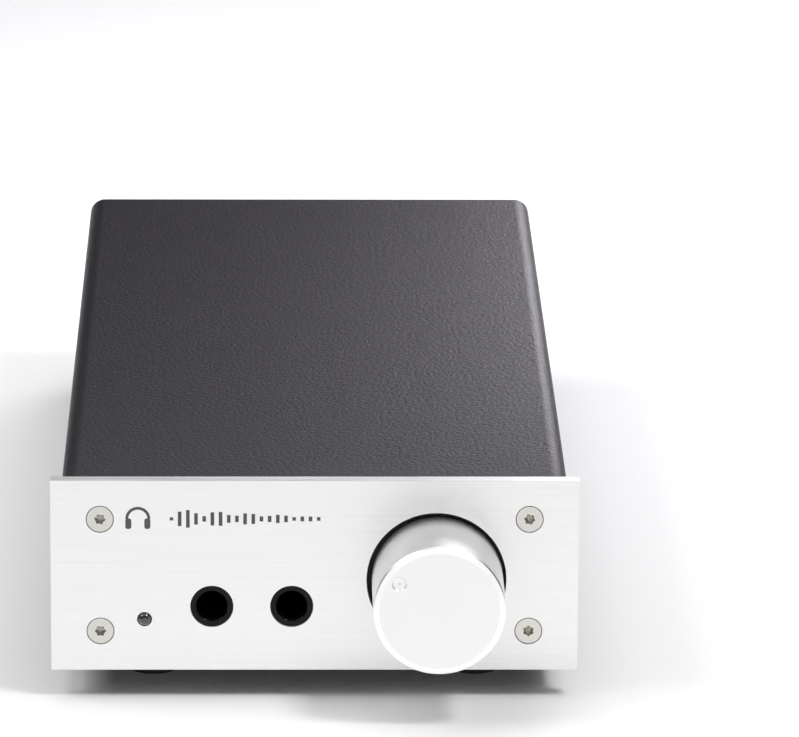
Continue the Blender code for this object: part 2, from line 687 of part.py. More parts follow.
def make_fuse_drawer():
    face = GAP + INLET_FLANGE[2]
    _, drawer_h, drawer_l = DRAWER
    travel = marker("fuse_drawer_travel", (-INLET_X, CASE_BACK + face, CASE_LIFT + DRAWER_Y), (pi / 2, 0, pi))
    drawer_at = (0, 0, DRAWER_PROUD - drawer_l / 2)
    drawer = box("fuse_drawer", DRAWER, BLACK_PLASTIC, travel, drawer_at)
    pocket = (FUSE_L + 2 * GAP, drawer_h, 2 * FUSE_R + 2 * GAP)
    cut(drawer, box("fuse_pocket", pocket, None, travel, (0, DRAWER_FLOOR, -FUSE_DEPTH)))
    cut(drawer, box("drawer_grip", DRAWER_GRIP, None, travel, (0, 0, DRAWER_PROUD)))
    fuse_at = (0, DRAWER_FLOOR + GAP - drawer_h / 2 + FUSE_R, -FUSE_DEPTH)
    prism("mains_fuse", SMALL_STEPS, FUSE_R, FUSE_L, GLASS, travel, fuse_at, (0, pi / 2, 0))


# ---- inside ------------------------------------------------------------------------------------------

def make_board():
    length = CASE_BACK - CASE_FRONT - BOARD_FRONT - BOARD_REAR
    middle = CASE_FRONT + BOARD_FRONT + length / 2
    board = box("main_board", (BOARD_W, length, BOARD_T), BOARD, None, (0, middle, BOARD_Z + BOARD_T / 2))
    control_back = CASE_FRONT + SHEET + 2 * GAP + CONTROL_L
    notch = (CONTROL_SIDE + 2 * NOTCH_MARGIN, 2 * (control_back + NOTCH_MARGIN - CASE_FRONT), 4 * BOARD_T)
    cut(board, box("control_notch", notch, None, None, (KNOB_X, CASE_FRONT, BOARD_Z)))
    body_w, _, body_l = INLET_BODY
    notch = (body_w + 2 * INLET_NOTCH_MARGIN, 2 * (body_l + INLET_NOTCH_MARGIN), 4 * BOARD_T)
    cut(board, box("inlet_notch", notch, None, None, (-INLET_X, CASE_BACK, BOARD_Z)))
    for end, y in zip(("front", "rear"), SPACER_Y):
        for side, x in (("left", -SPACER_X), ("right", SPACER_X)):
            where = f"{end}_{side}"
            at = (x, y, SPACER_H / 2 + GAP)
            spacer = prism("board_spacer_" + where, SMALL_STEPS, SPACER_R, SPACER_H, BRASS, FLOOR, at)
            bore = prism("spacer_bore_" + where, SMALL_STEPS, SHANK_HOLE_R, 2 * SPACER_H, None, FLOOR, at)
            cut(spacer, bore)
            cut(board, hole("board_hole_" + where, SHANK_HOLE_R, 2 * BOARD_T, TOP, (x, y, 0), SMALL_STEPS))
            button_screw("board_screw_" + where, TOP, (x, y, 0), BOARD_T + SPACER_H)


def make_power_supply():
    x, y = TRANSFORMER_AT
    profile = [
        (0, TRANSFORMER_H),
        (TRANSFORMER_R - TRANSFORMER_BREAK, TRANSFORMER_H),
        (TRANSFORMER_R, TRANSFORMER_H - TRANSFORMER_BREAK),
        (TRANSFORMER_R, 0),
        (0, 0),
    ]
    turned("mains_transformer", profile, FINE_STEPS, BLACK_PLASTIC, TOP, (x, y, 0))
    profile = [
        (0, CAPACITOR_H),
        (CAPACITOR_R - CAPACITOR_BREAK, CAPACITOR_H),
        (CAPACITOR_R, CAPACITOR_H - CAPACITOR_BREAK),
        (CAPACITOR_R, 0),
        (0, 0),
    ]
    for index, x in enumerate(CAPACITOR_X, start=1):
        turned(f"filter_capacitor_{index}", profile, SMALL_STEPS, CAN, TOP, (x, CAPACITOR_Y, 0))
    box("bridge_rectifier", RECTIFIER, BLACK_PLASTIC, TOP, (*RECTIFIER_AT, RECTIFIER[2] / 2))


def fin_outline():
    """The heat sink's section: a back plate with fins, one step of the comb for each fin."""
    width = (SINK_FINS - 1) * SINK_PITCH + SINK_FIN_T
    points = [(width, 0), (0, 0)]
    for fin in range(SINK_FINS):
        left = fin * SINK_PITCH
        points += [(left, SINK_FIN_L), (left + SINK_FIN_T, SINK_FIN_L)]
        if fin < SINK_FINS - 1:
            points += [(left + SINK_FIN_T, SINK_BASE_T), (left + SINK_PITCH, SINK_BASE_T)]
    return points


def make_output_stage():
    outline = fin_outline()
    for side, x in zip(("left", "right"), SINK_X):
        mesh = bpy.data.meshes.new("heat_sink_" + side)
        shape = bmesh.new()
        section = shape.faces.new([shape.verts.new((across, along, 0)) for across, along in outline])
        bmesh.ops.recalc_face_normals(shape, faces=[section])
        raised = bmesh.ops.extrude_face_region(shape, geom=[section])["geom"]
        upper = [item for item in raised if isinstance(item, bmesh.types.BMVert)]
        bmesh.ops.translate(shape, vec=(0, 0, SINK_H), verts=upper)
        bmesh.ops.recalc_face_normals(shape, faces=shape.faces[:])
        shape.to_mesh(mesh)
        shape.free()
        place("heat_sink_" + side, mesh, DARK_STEEL, TOP, (x, SINK_Y, 0))
        _, thick, tall = TRANSISTOR
        at = (x + outline[0][0] / 2, SINK_Y - GAP - thick / 2, tall / 2)
        box("output_transistor_" + side, TRANSISTOR, BLACK_PLASTIC, TOP, at)
    box("amplifier_chip", CHIP, BLACK_PLASTIC, TOP, (CHIP_X, SINK_Y, CHIP[2] / 2))


def make_gain_switch():
    """A two-way slide switch under the board, worked through a window in the tray."""
    low = TRAY_FLOOR + GAP
    body = box("gain_switch", GAIN_BODY, BLACK_PLASTIC, None, (GAIN_X, GAIN_Y, low + GAIN_BODY[2] / 2))
    slot_w, slot_l, slot_d = GAIN_SLOT
    for name, side in (("left", -1), ("right", 1)):
        x = GAIN_X + side * GAIN_PITCH / 2
        size = (slot_w, slot_l, 2 * slot_d)
        cut(body, box("slot_" + name, size, None, None, (x, GAIN_Y, low)))
        rest = GAIN_Y - slot_l / 2 + GAP + SLIDER[1] / 2
        top = low + slot_d - GAP
        box("gain_slider_" + name, SLIDER, WHITE_PLASTIC, None, (x, rest, top - SLIDER[2] / 2))


def settle_shading():
    """Make each modelled shape a plain mesh, smooth where it is round and sharp at its edges."""
    bpy.context.view_layer.update()
    graph = bpy.context.evaluated_depsgraph_get()
    solids = [obj for obj in PARTS.objects if obj.type == "MESH"]
    meshes = [bpy.data.meshes.new_from_object(obj.evaluated_get(graph), depsgraph=graph) for obj in solids]
    for obj, mesh in zip(solids, meshes):
        obj.modifiers.clear()
        mesh.name = obj.name
        mesh.shade_smooth()
        mesh.set_sharp_from_angle(angle=SMOOTH_ANGLE)
        obj.data = mesh


make_front_plate()
make_cover()
make_tray()
make_underside()
make_knob()
make_control()
make_jacks()
make_lamp()
make_phono_sockets()
make_mains_inlet()
make_fuse_drawer()
make_board()
make_power_supply()
make_output_stage()
make_gain_switch()
settle_shading()
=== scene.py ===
from math import cos, pi, radians, sin, tan

import bmesh
import bpy
from mathutils import Euler, Matrix, Vector


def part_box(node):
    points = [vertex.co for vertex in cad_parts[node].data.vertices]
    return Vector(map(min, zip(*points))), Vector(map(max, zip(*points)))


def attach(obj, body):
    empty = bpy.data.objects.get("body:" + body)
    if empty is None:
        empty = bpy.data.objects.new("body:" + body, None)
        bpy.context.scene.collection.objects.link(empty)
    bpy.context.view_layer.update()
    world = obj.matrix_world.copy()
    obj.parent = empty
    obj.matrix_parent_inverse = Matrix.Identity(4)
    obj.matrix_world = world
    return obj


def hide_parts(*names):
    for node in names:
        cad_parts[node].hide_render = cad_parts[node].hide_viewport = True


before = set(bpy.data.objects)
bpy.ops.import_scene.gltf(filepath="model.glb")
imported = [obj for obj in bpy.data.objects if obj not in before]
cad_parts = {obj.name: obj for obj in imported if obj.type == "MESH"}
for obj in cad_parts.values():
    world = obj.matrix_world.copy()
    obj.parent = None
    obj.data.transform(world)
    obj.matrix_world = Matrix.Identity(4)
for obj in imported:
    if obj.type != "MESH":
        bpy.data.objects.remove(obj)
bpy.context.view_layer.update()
MM = 0.001
FRONT = Vector((0, -1, 0))
REAR = Vector((0, 1, 0))
UP = Vector((0, 0, 1))
DOWN = Vector((0, 0, -1))

# ---- Front plate ----
# The real plate is 3 mm aluminium, cut square, brushed lengthways on its face and clear anodised. Four
# countersunk screws hold it to the wall of the tray, and its holes clear the knob, the jacks and the lamp.

PLATE_EDGE = 0.14 * MM  # broken edge all round and at every hole
MILLED_ROUGHER = 0.12  # how much rougher the plate's milled edges are than its brushed face
FINE_POINTS = 192  # points round the knob and its hole
ROUND_POINTS = 96  # points round other shapes that show
MID_POINTS = 64
SMALL_POINTS = 48
SHARP_ANGLE = radians(22)
TOUCH = 0.001 * MM  # points closer than this are one
SINK_R = 2.92 * MM
SINK_BACK_R = 1.75 * MM
JACK_HOLE_R = 4.5 * MM
LAMP_HOLE_R = 1.56 * MM
KNOB_HOLE_R = 14.6 * MM
KNOB_HOLE_SHIFT = Vector((-0.2 * MM, 0, 0.2 * MM))  # the hole's centre from the knob's axis


def box(node):
    low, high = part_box(node)
    return Vector(low), Vector(high)


def middle(node):
    low, high = box(node)
    return (low + high) / 2


def at_depth(node, y):
    """A node's middle, moved along Y to a depth."""
    return Vector((middle(node).x, y, middle(node).z))


def nodes_called(start):
    return sorted(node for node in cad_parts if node.startswith(start))


plate_low, plate_high = box("front_panel")
screw_nodes = nodes_called("front_screw_")


def link(name, data):
    obj = bpy.data.objects.new(name, data)
    bpy.context.scene.collection.objects.link(obj)
    return obj


def evaluated(obj):
    bpy.context.view_layer.update()
    graph = bpy.context.evaluated_depsgraph_get()
    return bpy.data.meshes.new_from_object(obj.evaluated_get(graph), depsgraph=graph)


def settle(obj):
    """Turn what the modifiers make into the object's own mesh, sharp at its edges and smooth between."""
    mesh = evaluated(obj)
    obj.modifiers.clear()
    mesh.shade_smooth()
    mesh.set_sharp_from_angle(angle=SHARP_ANGLE)
    mesh.name = obj.name
    obj.data = mesh
    return obj


def break_edges(obj, width, segments=2):
    """Round off every hard edge by a small width."""
    bevel = obj.modifiers.new("broken edges", "BEVEL")
    bevel.width = width
    bevel.segments = segments
    bevel.limit_method = "ANGLE"
    bevel.angle_limit = radians(40)
    return settle(obj)


def circle(centre, radius, points=ROUND_POINTS):
    """Points on a circle in X and Z, as (x, z) pairs."""
    turns = [2 * pi * step / points for step in range(points)]
    return [(centre.x + radius * cos(turn), centre.z + radius * sin(turn)) for turn in turns]


def standing_plate(name, outlines, front, back):
    """A plate between two depths. The first outline is its edge, and the others are its holes."""
    curve = bpy.data.curves.new(name, "CURVE")
    curve.dimensions = "2D"
    curve.fill_mode = "BOTH"
    curve.extrude = (back - front) / 2
    for outline in outlines:
        spline = curve.splines.new("POLY")
        spline.points.add(len(outline) - 1)
        spline.use_cyclic_u = True
        for point, (x, z) in zip(spline.points, outline):
            point.co = (x, z, 0, 1)
    flat = link(name + "_outline", curve)
    mesh = evaluated(flat)
    bpy.data.objects.remove(flat)
    shape = bmesh.new()
    shape.from_mesh(mesh)
    bmesh.ops.remove_doubles(shape, verts=shape.verts, dist=TOUCH)
    bmesh.ops.rotate(shape, matrix=Matrix.Rotation(pi / 2, 3, "X"), verts=shape.verts)
    bmesh.ops.translate(shape, vec=(0, (front + back) / 2, 0), verts=shape.verts)
    shape.to_mesh(mesh)
    shape.free()
    return link(name, mesh)


def rectangle(low, high):
    return [(low.x, low.z), (high.x, low.z), (high.x, high.z), (low.x, high.z)]


knob_axis = middle("volume_knob")
holes = [circle(middle(node), SINK_R) for node in screw_nodes]
holes += [circle(middle(f"headphone_jack_{side}"), JACK_HOLE_R) for side in ("left", "right")]
holes.append(circle(middle("pilot_lamp"), LAMP_HOLE_R, SMALL_POINTS))
holes.append(circle(knob_axis + KNOB_HOLE_SHIFT, KNOB_HOLE_R, FINE_POINTS))
front_plate = standing_plate(
    "front_plate", [rectangle(plate_low, plate_high), *holes], plate_low.y, plate_high.y)
for node in screw_nodes:
    centre = middle(node)
    for vertex in front_plate.data.vertices:
        away = Vector((vertex.co.x - centre.x, 0, vertex.co.z - centre.z))
        if vertex.co.y > plate_high.y - PLATE_EDGE and away.length < SINK_R + PLATE_EDGE:
            vertex.co -= away * (1 - SINK_BACK_R / SINK_R)
break_edges(front_plate, PLATE_EDGE)


def new_material(name, colour, roughness, metallic=0.0):
    """A Principled material, its node tree, its shader and the piece's own coordinates."""
    material = bpy.data.materials.new(name)
    material.use_nodes = True
    tree = material.node_tree
    shader = tree.nodes["Principled BSDF"]
    shader.inputs["Base Color"].default_value = (*colour, 1)
    shader.inputs["Roughness"].default_value = roughness
    shader.inputs["Metallic"].default_value = metallic
    place = tree.nodes.new("ShaderNodeTexCoord").outputs["Object"]
    return material, tree, shader, place


def add(tree, kind, inputs=None, **settings):
    """Add a node, set its properties, and set or wire its inputs by name or number."""
    node = tree.nodes.new(kind)
    for key, value in settings.items():
        setattr(node, key, value)
    for key, value in (inputs or {}).items():
        if isinstance(value, bpy.types.NodeSocket):
            tree.links.new(value, node.inputs[key])
        else:
            node.inputs[key].default_value = value
    return node


def spread(tree, value, low, high, start=0.0, end=1.0):
    """Map a value's range onto another one."""
    return add(tree, "ShaderNodeMapRange", {0: value, 1: start, 2: end, 3: low, 4: high}).outputs[0]


def noise(tree, place, scale, detail):
    return add(tree, "ShaderNodeTexNoise", {"Vector": place, "Scale": scale, "Detail": detail}).outputs["Fac"]


def maths(tree, operation, *values):
    """One step of arithmetic on sockets or plain numbers."""
    return add(tree, "ShaderNodeMath", dict(enumerate(values)), operation=operation).outputs[0]


def tint(tree, shader, share, low, high):
    """Mix the base colour from two."""
    colour = add(tree, "ShaderNodeMix", {0: share, 6: (*low, 1), 7: (*high, 1)}, data_type="RGBA")
    tree.links.new(colour.outputs[2], shader.inputs["Base Color"])


def dent(tree, shader, height, strength, depth):
    """Bump the surface by a height, at most to a depth."""
    bump = add(tree, "ShaderNodeBump", {"Height": height, "Strength": strength, "Distance": depth})
    tree.links.new(bump.outputs[0], shader.inputs["Normal"])


def shader_group(name, *inputs):
    """A group with a Place and its own inputs, which gives a Height and a Tone."""
    group = bpy.data.node_groups.new(name, "ShaderNodeTree")
    for label, kind in (("Place", "Vector"), *inputs):
        group.interface.new_socket(label, in_out="INPUT", socket_type="NodeSocket" + kind)
    for label in ("Height", "Tone"):
        group.interface.new_socket(label, in_out="OUTPUT", socket_type="NodeSocketFloat")
    return group, add(group, "NodeGroupInput").outputs, add(group, "NodeGroupOutput").inputs


def use_group(tree, group, place, **values):
    """Add a group at the piece's own coordinates, and give its Height and Tone."""
    node = add(tree, "ShaderNodeGroup", {"Place": place}, node_tree=group)
    for label, value in values.items():
        node.inputs[label].default_value = value
    return node.outputs["Height"], node.outputs["Tone"]


def grain_group():
    """Long scratches: fine and broad noise, each stretched along one direction by its own scale."""
    group, inputs, outputs = shader_group("brushed_grain", ("Fine", "Vector"), ("Broad", "Vector"))
    layers = []
    for label, detail in (("Fine", 3.0), ("Broad", 2.0)):
        scaled = add(group, "ShaderNodeVectorMath", {0: inputs["Place"], 1: inputs[label]},
                     operation="MULTIPLY")
        layers.append(noise(group, scaled.outputs[0], 1.0, detail))
    group.links.new(maths(group, "ADD", *layers), outputs["Height"])
    group.links.new(layers[1], outputs["Tone"])
    return group


GRAIN = grain_group()


def brushed_aluminium():
    """Scratches along X. The milled edges behind the face are a little rougher."""
    material, tree, shader, place = new_material("brushed_aluminium", (0.85, 0.85, 0.85), 0.36, 1.0)
    height, tone = use_group(tree, GRAIN, place, Fine=(90, 4000, 9000), Broad=(28, 900, 2200))
    tint(tree, shader, tone, (0.81, 0.81, 0.815), (0.90, 0.90, 0.895))
    depth = add(tree, "ShaderNodeSeparateXYZ", {0: place}).outputs[1]
    milled = spread(tree, depth, 0.0, MILLED_ROUGHER, plate_low.y + PLATE_EDGE, plate_low.y + 2 * PLATE_EDGE)
    brushed = spread(tree, tone, 0.30, 0.42, 0.3, 0.7)
    tree.links.new(maths(tree, "ADD", brushed, milled), shader.inputs["Roughness"])
    dent(tree, shader, height, 0.35, 0.02 * MM)
    return material


def fit(piece, material, body, slot, *nodes):
    """Give a piece its finish, its body and the solids that it stands for."""
    if material:
        piece.data.materials.clear()
        piece.data.materials.append(material)
    if nodes:
        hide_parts(*nodes)
    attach(piece, body)


fit(front_plate, brushed_aluminium(), "chassis", "brushed_plate", "front_panel")

# ---- Printed mark ----
# Dark grey screen print, a few hundredths of a millimetre thick, on the upper left of the plate. It is a
# plain headphone sign with a row of level bars beside it.

INK_T = 0.03 * MM
INK_LIFT = 0.01 * MM
SIGN_AT = Vector((plate_low.x + 18.2 * MM, 0, plate_low.z + 33.0 * MM))
SIGN_R = 2.6 * MM
BARS = 19
BAR_PITCH = 1.7 * MM
BAR_W = 0.75 * MM
BAR_TALL = 4.2 * MM
BARS_FROM = 7.0 * MM  # from the sign's middle to the first bar
WAVE_STEP = 0.83  # the wave's turn from one bar to the next
LEAST_BAR = 0.16  # the lowest bar's share of the full height
BAND_W = 0.6 * MM
CUP_W = 1.25 * MM
CUP_H = 2.3 * MM
CUP_RAISE = 0.1 * MM
CUP_ROUND_R = CUP_W * 0.4


def roughen(tree, shader, value, low, high, start=0.3, end=0.7):
    """Move the roughness between two values with a noise."""
    tree.links.new(spread(tree, value, low, high, start, end), shader.inputs["Roughness"])


def plain_ink():
    material, tree, shader, place = new_material("grey_print", (0.085, 0.085, 0.095), 0.55)
    roughen(tree, shader, noise(tree, place, 2500.0, 2.0), 0.48, 0.62, 0.0, 1.0)
    return material


INK = plain_ink()


def new_tree(name, *inputs):
    """A geometry tree with named inputs, each (label, socket kind, value), and its two end nodes."""
    tree = bpy.data.node_groups.new(name, "GeometryNodeTree")
    tree.interface.new_socket("Geometry", in_out="INPUT", socket_type="NodeSocketGeometry")
    for label, kind, value in inputs:
        socket = tree.interface.new_socket(label, in_out="INPUT", socket_type="NodeSocket" + kind)
        if value is not None:
            socket.default_value = value
    tree.interface.new_socket("Geometry", in_out="OUTPUT", socket_type="NodeSocketGeometry")
    return tree, add(tree, "NodeGroupInput").outputs, add(tree, "NodeGroupOutput").inputs


def end_tree(tree, geometry, output, material):
    """Every tree ends by making its instances real and giving them their material."""
    real = add(tree, "GeometryNodeRealizeInstances", {"Geometry": geometry})
    painted = add(tree, "GeometryNodeSetMaterial", {"Geometry": real.outputs[0], "Material": material})
    tree.links.new(painted.outputs[0], output)


def grow(name, tree, mesh=None, **values):
    """Run a tree once, with its inputs set by their sockets' identifiers, and keep the plain mesh."""
    obj = link(name, mesh or bpy.data.meshes.new(name))
    modifier = obj.modifiers.new("grow", "NODES")
    modifier.node_group = tree
    for item in tree.interface.items_tree:
        if item.in_out == "INPUT" and item.name in values:
            modifier[item.identifier] = values[item.name]
    return settle(obj)


def row_tree(name, count, pitch, size):
    """A tree for a row of boxes along X, and its instancing node, still without its ending."""
    tree, given, out = new_tree(name, ("Count", "Int", count), ("Pitch", "Float", pitch),
                                ("Size", "Vector", size))
    step = add(tree, "ShaderNodeCombineXYZ", {0: given["Pitch"]})
    line = add(tree, "GeometryNodeMeshLine", {"Count": given["Count"], "Offset": step.outputs[0]})
    cube = add(tree, "GeometryNodeMeshCube", {"Size": given["Size"]})
    boxes = add(tree, "GeometryNodeInstanceOnPoints",
                {"Points": line.outputs[0], "Instance": cube.outputs[0]})
    return tree, given, out["Geometry"], boxes


def level_bars():
    """Bars on a line, each as tall as a fading wave makes it."""
    tree, given, out, bars = row_tree("level_bars", BARS, BAR_PITCH, (BAR_W, INK_T, BAR_TALL))
    index = add(tree, "GeometryNodeInputIndex").outputs[0]
    swing = maths(tree, "SINE", maths(tree, "MULTIPLY", index, WAVE_STEP))
    fade = maths(tree, "SUBTRACT", 1.0, maths(tree, "DIVIDE", index, given["Count"]))
    height = maths(tree, "MULTIPLY", maths(tree, "ABSOLUTE", swing), fade)
    raised = spread(tree, height, LEAST_BAR, 1.0)
    stretch = add(tree, "ShaderNodeCombineXYZ", {0: 1.0, 1: 1.0, 2: raised})
    tree.links.new(stretch.outputs[0], bars.inputs["Scale"])
    end_tree(tree, bars.outputs[0], out, INK)
    return tree


def shift(obj, offset):
    """Move a finished mesh to its place, leaving its object at the origin."""
    obj.data.transform(Matrix.Translation(offset))


ink_depth = Vector((0, plate_low.y - INK_LIFT - INK_T / 2, 0))
bars = grow("printed_bars", level_bars())
shift(bars, SIGN_AT + ink_depth + Vector((BARS_FROM, 0, 0)))


def headphone_sign():
    """A thick arc over two rounded ear cups."""
    turns = [pi * step / 32 for step in range(33)]
    arc = [(SIGN_R * cos(turn), SIGN_R * sin(turn)) for turn in turns]
    inner = SIGN_R - BAND_W
    arc += [(inner * cos(turn), inner * sin(turn)) for turn in reversed(turns)]
    outlines = [arc]
    for side in (-1, 1):
        centre = Vector((side * (SIGN_R - CUP_W / 2), 0, -CUP_H / 2 + CUP_RAISE))
        cup = []
        for corner_x, corner_z, start in ((1, 1, 0), (-1, 1, 90), (-1, -1, 180), (1, -1, 270)):
            x = centre.x + corner_x * (CUP_W / 2 - CUP_ROUND_R)
            z = centre.z + corner_z * (CUP_H / 2 - CUP_ROUND_R)
            turns = [radians(start + 15 * step) for step in range(7)]
            cup += [(x + CUP_ROUND_R * cos(turn), z + CUP_ROUND_R * sin(turn)) for turn in turns]
        outlines.append(cup)
    return outlines


sign_parts = []
for number, outline in enumerate(headphone_sign()):
    moved = [(x + SIGN_AT.x, z + SIGN_AT.z) for x, z in outline]
    front = plate_low.y - INK_LIFT - INK_T
    part = settle(standing_plate(f"printed_sign_{number}", [moved], front, front + INK_T))
    part.data.materials.append(INK)
    sign_parts.append(part)
for piece in (bars, *sign_parts):
    fit(piece, INK, "chassis", "component_plastic")

# ---- Screws ----
# Four M3 countersunk screws with a six-lobed drive hold the plate. They are plated steel with a slightly
# uneven gloss. The case's other screws have the same drive and a low round head.

LOBES = 6
LOBE_POINTS = 12 * LOBES
HEAD_R = 2.76 * MM
DRIVE_R = 1.16 * MM
DRIVE_DEPTH = 1.45 * MM
DRIVE_CONE = 0.90 * MM  # the punched cone in the floor of the recess
DRIVE_MOUTH = 1.03  # how much wider the recess is at its mouth
LOBE_DEPTH = 0.22
LOBE_SHARPNESS = 0.8
SHANK_R = 1.4 * MM
SHANK_L = 6 * MM
RIM_T = 0.25 * MM  # the flat head's straight rim
CONE_L = 1.6 * MM  # from the head's flat to the end of its cone
HEAD_BACK = 0.04 * MM  # how far the heads lie behind the plate's face
ORIGIN = Vector((0, 0, 0))


def rounded(points, radii, steps=5, margin=0.02 * MM):
    """A path with its inner corners rounded, and a point close to each end of every arc."""
    path = [Vector(points[0])]
    for before, corner, after, radius in zip(points, points[1:], points[2:], radii):
        corner = Vector(corner)
        back = (Vector(before) - corner).normalized()
        ahead = (Vector(after) - corner).normalized()
        half = back.angle(ahead) / 2
        reach = radius / tan(half)
        centre = corner + (back + ahead).normalized() * (radius / sin(half))
        start = corner + back * reach - centre
        end = corner + ahead * reach - centre
        path.append(corner + back * (reach + margin))
        path += [centre + start.slerp(end, step / steps) * radius for step in range(steps + 1)]
        path.append(corner + ahead * (reach + margin))
    path.append(Vector(points[-1]))
    return path


def turned(name, profile, centre, facing, steps=ROUND_POINTS, ring=False, waves=None):
    """Turn (radius, reach) points about an axis through centre. Waves scales a radius by its angle."""
    across = facing.orthogonal().normalized()
    upright = facing.cross(across)
    shape = bmesh.new()
    rows = []
    for number, (radius, reach) in enumerate(profile):
        if radius == 0:
            rows.append([shape.verts.new(centre + facing * reach)])
            continue
        row = []
        for step in range(steps):
            turn = 2 * pi * step / steps
            wide = radius * (waves(number, turn) if waves else 1)
            spoke = across * cos(turn) + upright * sin(turn)
            row.append(shape.verts.new(centre + facing * reach + spoke * wide))
        rows.append(row)
    pairs = list(zip(rows, rows[1:]))
    if ring:
        pairs.append((rows[-1], rows[0]))
    for first, second in pairs:
        for step in range(steps):
            after = (step + 1) % steps
            corners = [first[step % len(first)], first[after % len(first)],
                       second[after % len(second)], second[step % len(second)]]
            shape.faces.new(list(dict.fromkeys(corners)))
    bmesh.ops.recalc_face_normals(shape, faces=shape.faces)
    mesh = bpy.data.meshes.new(name)
    shape.to_mesh(mesh)
    shape.free()
    return settle(link(name, mesh))


def lobed_head(name, head, facing, centre):
    """A turned head whose first five rings are a six-lobed recess, running up to the flat."""
    recess = [(0, -DRIVE_DEPTH - DRIVE_CONE), (DRIVE_R * 0.86, -DRIVE_DEPTH),
              (DRIVE_R * 0.97, -DRIVE_DEPTH * 0.92), (DRIVE_R, -0.06 * MM), (DRIVE_R * DRIVE_MOUTH, 0)]

    def lobes(number, turn):
        if number < len(recess):
            return 1 - LOBE_DEPTH * (0.5 - 0.5 * cos(LOBES * turn)) ** LOBE_SHARPNESS
        return 1

    recess = [(radius, reach + head[0][1]) for radius, reach in recess]
    return turned(name, recess + head, centre, facing, LOBE_POINTS, waves=lobes)


def cloudy(name, colour, roughness, metallic, scale, detail, low, high, strength, depth):
    """A finish whose gloss and height both wander with one noise."""
    material, tree, shader, place = new_material(name, colour, roughness, metallic)
    cloud = noise(tree, place, scale, detail)
    roughen(tree, shader, cloud, low, high)
    dent(tree, shader, cloud, strength, depth)
    return material


def steel(name, colour, roughness):
    """Plated or blackened steel with a fine uneven gloss."""
    low, high = roughness - 0.08, roughness + 0.10
    return cloudy(name, colour, roughness, 1.0, 5200.0, 2.0, low, high, 0.25, 0.01 * MM)


PLATED = steel("plated_steel", (0.64, 0.625, 0.59), 0.17)


def screws_tree():
    """One pattern piece at every point, each turned by its own angle about the axis that it faces along."""
    tree, given, out = new_tree("driven_screws", ("Screw", "Object", None), ("Axis", "Vector", FRONT),
                                ("Seed", "Int", 4), ("Finish", "Material", None))
    pattern = add(tree, "GeometryNodeObjectInfo", {"Object": given["Screw"]}, transform_space="ORIGINAL")
    angle = add(tree, "FunctionNodeRandomValue", {2: 0.0, 3: 2 * pi, "Seed": given["Seed"]},
                data_type="FLOAT")
    turn = add(tree, "FunctionNodeAxisAngleToRotation", {"Axis": given["Axis"], "Angle": angle.outputs[1]})
    screws = add(tree, "GeometryNodeInstanceOnPoints",
                 {"Points": given["Geometry"], "Instance": pattern.outputs["Geometry"],
                  "Rotation": turn.outputs[0]})
    end_tree(tree, screws.outputs[0], out["Geometry"], given["Finish"])
    return tree


SCREWS = screws_tree()


def drive_in(name, pattern, points, facing, seed, material, slot, *nodes):
    """Set a pattern piece, made at the origin, at each point, then remove the pattern."""
    spots = bpy.data.meshes.new(name)
    spots.from_pydata([tuple(point) for point in points], [], [])
    pieces = grow(name, SCREWS, spots, Screw=pattern, Axis=tuple(facing), Seed=seed, Finish=material)
    bpy.data.objects.remove(pattern)
    fit(pieces, None, "chassis", slot, *nodes)


flat_head = rounded([(DRIVE_R * DRIVE_MOUTH + 0.01 * MM, 0), (HEAD_R, 0), (HEAD_R, -RIM_T),
                     (SHANK_R, -CONE_L), (SHANK_R, -SHANK_L)], [0.06 * MM, 0.05 * MM, 0.2 * MM])
pattern = lobed_head("flat_pattern", flat_head + [(0, -SHANK_L)], FRONT, ORIGIN)
spots = [at_depth(node, plate_low.y + HEAD_BACK) for node in screw_nodes]
drive_in("front_screws", pattern, spots, FRONT, 4, PLATED, "screw_steel", *screw_nodes)

# ---- Headphone jacks ----
# Two moulded black jacks stand on the board. Their round snouts fill the holes in the plate, and each has a
# flat annular face with well rounded lips round its 6.35 mm bore.

SNOUT_R = 4.44 * MM
SNOUT_L = 4.8 * MM
FACE_BACK = 0.3 * MM  # from the plate's face to the snout's
BORE_R = 3.2 * MM
BORE_L = 31 * MM
PAST = 1 * MM  # how far a cutter or a hidden end runs past a surface

GLOSS = cloudy("glossy_black_moulding", (0.004, 0.004, 0.0043), 0.16, 0.0, 1400.0, 2.0, 0.09, 0.16, 0.10,
               0.02 * MM)
GLOSS.node_tree.nodes["Principled BSDF"].inputs["Specular IOR Level"].default_value = 0.17


def block(name, low, high, edge, segments):
    """A moulded block with its edges broken."""
    mesh = bpy.data.meshes.new(name)
    shape = bmesh.new()
    bmesh.ops.create_cube(shape, size=1)
    low, high = Vector(low), Vector(high)
    bmesh.ops.scale(shape, vec=high - low, verts=shape.verts)
    bmesh.ops.translate(shape, vec=(low + high) / 2, verts=shape.verts)
    shape.to_mesh(mesh)
    shape.free()
    return break_edges(link(name, mesh), edge, segments)


def cut_away(obj, *cutters):
    """Take the cutters' shapes out of a piece, and remove them."""
    for cutter in cutters:
        boolean = obj.modifiers.new("cut", "BOOLEAN")
        boolean.solver = "EXACT"
        boolean.operation = "DIFFERENCE"
        boolean.object = cutter
    settle(obj)
    for cutter in cutters:
        bpy.data.objects.remove(cutter)


def rod(name, radius, start, end, centre, facing, steps=ROUND_POINTS):
    """A plain cylinder between two reaches, to cut with."""
    return turned(name, [(0, start), (radius, start), (radius, end), (0, end)], centre, facing, steps)


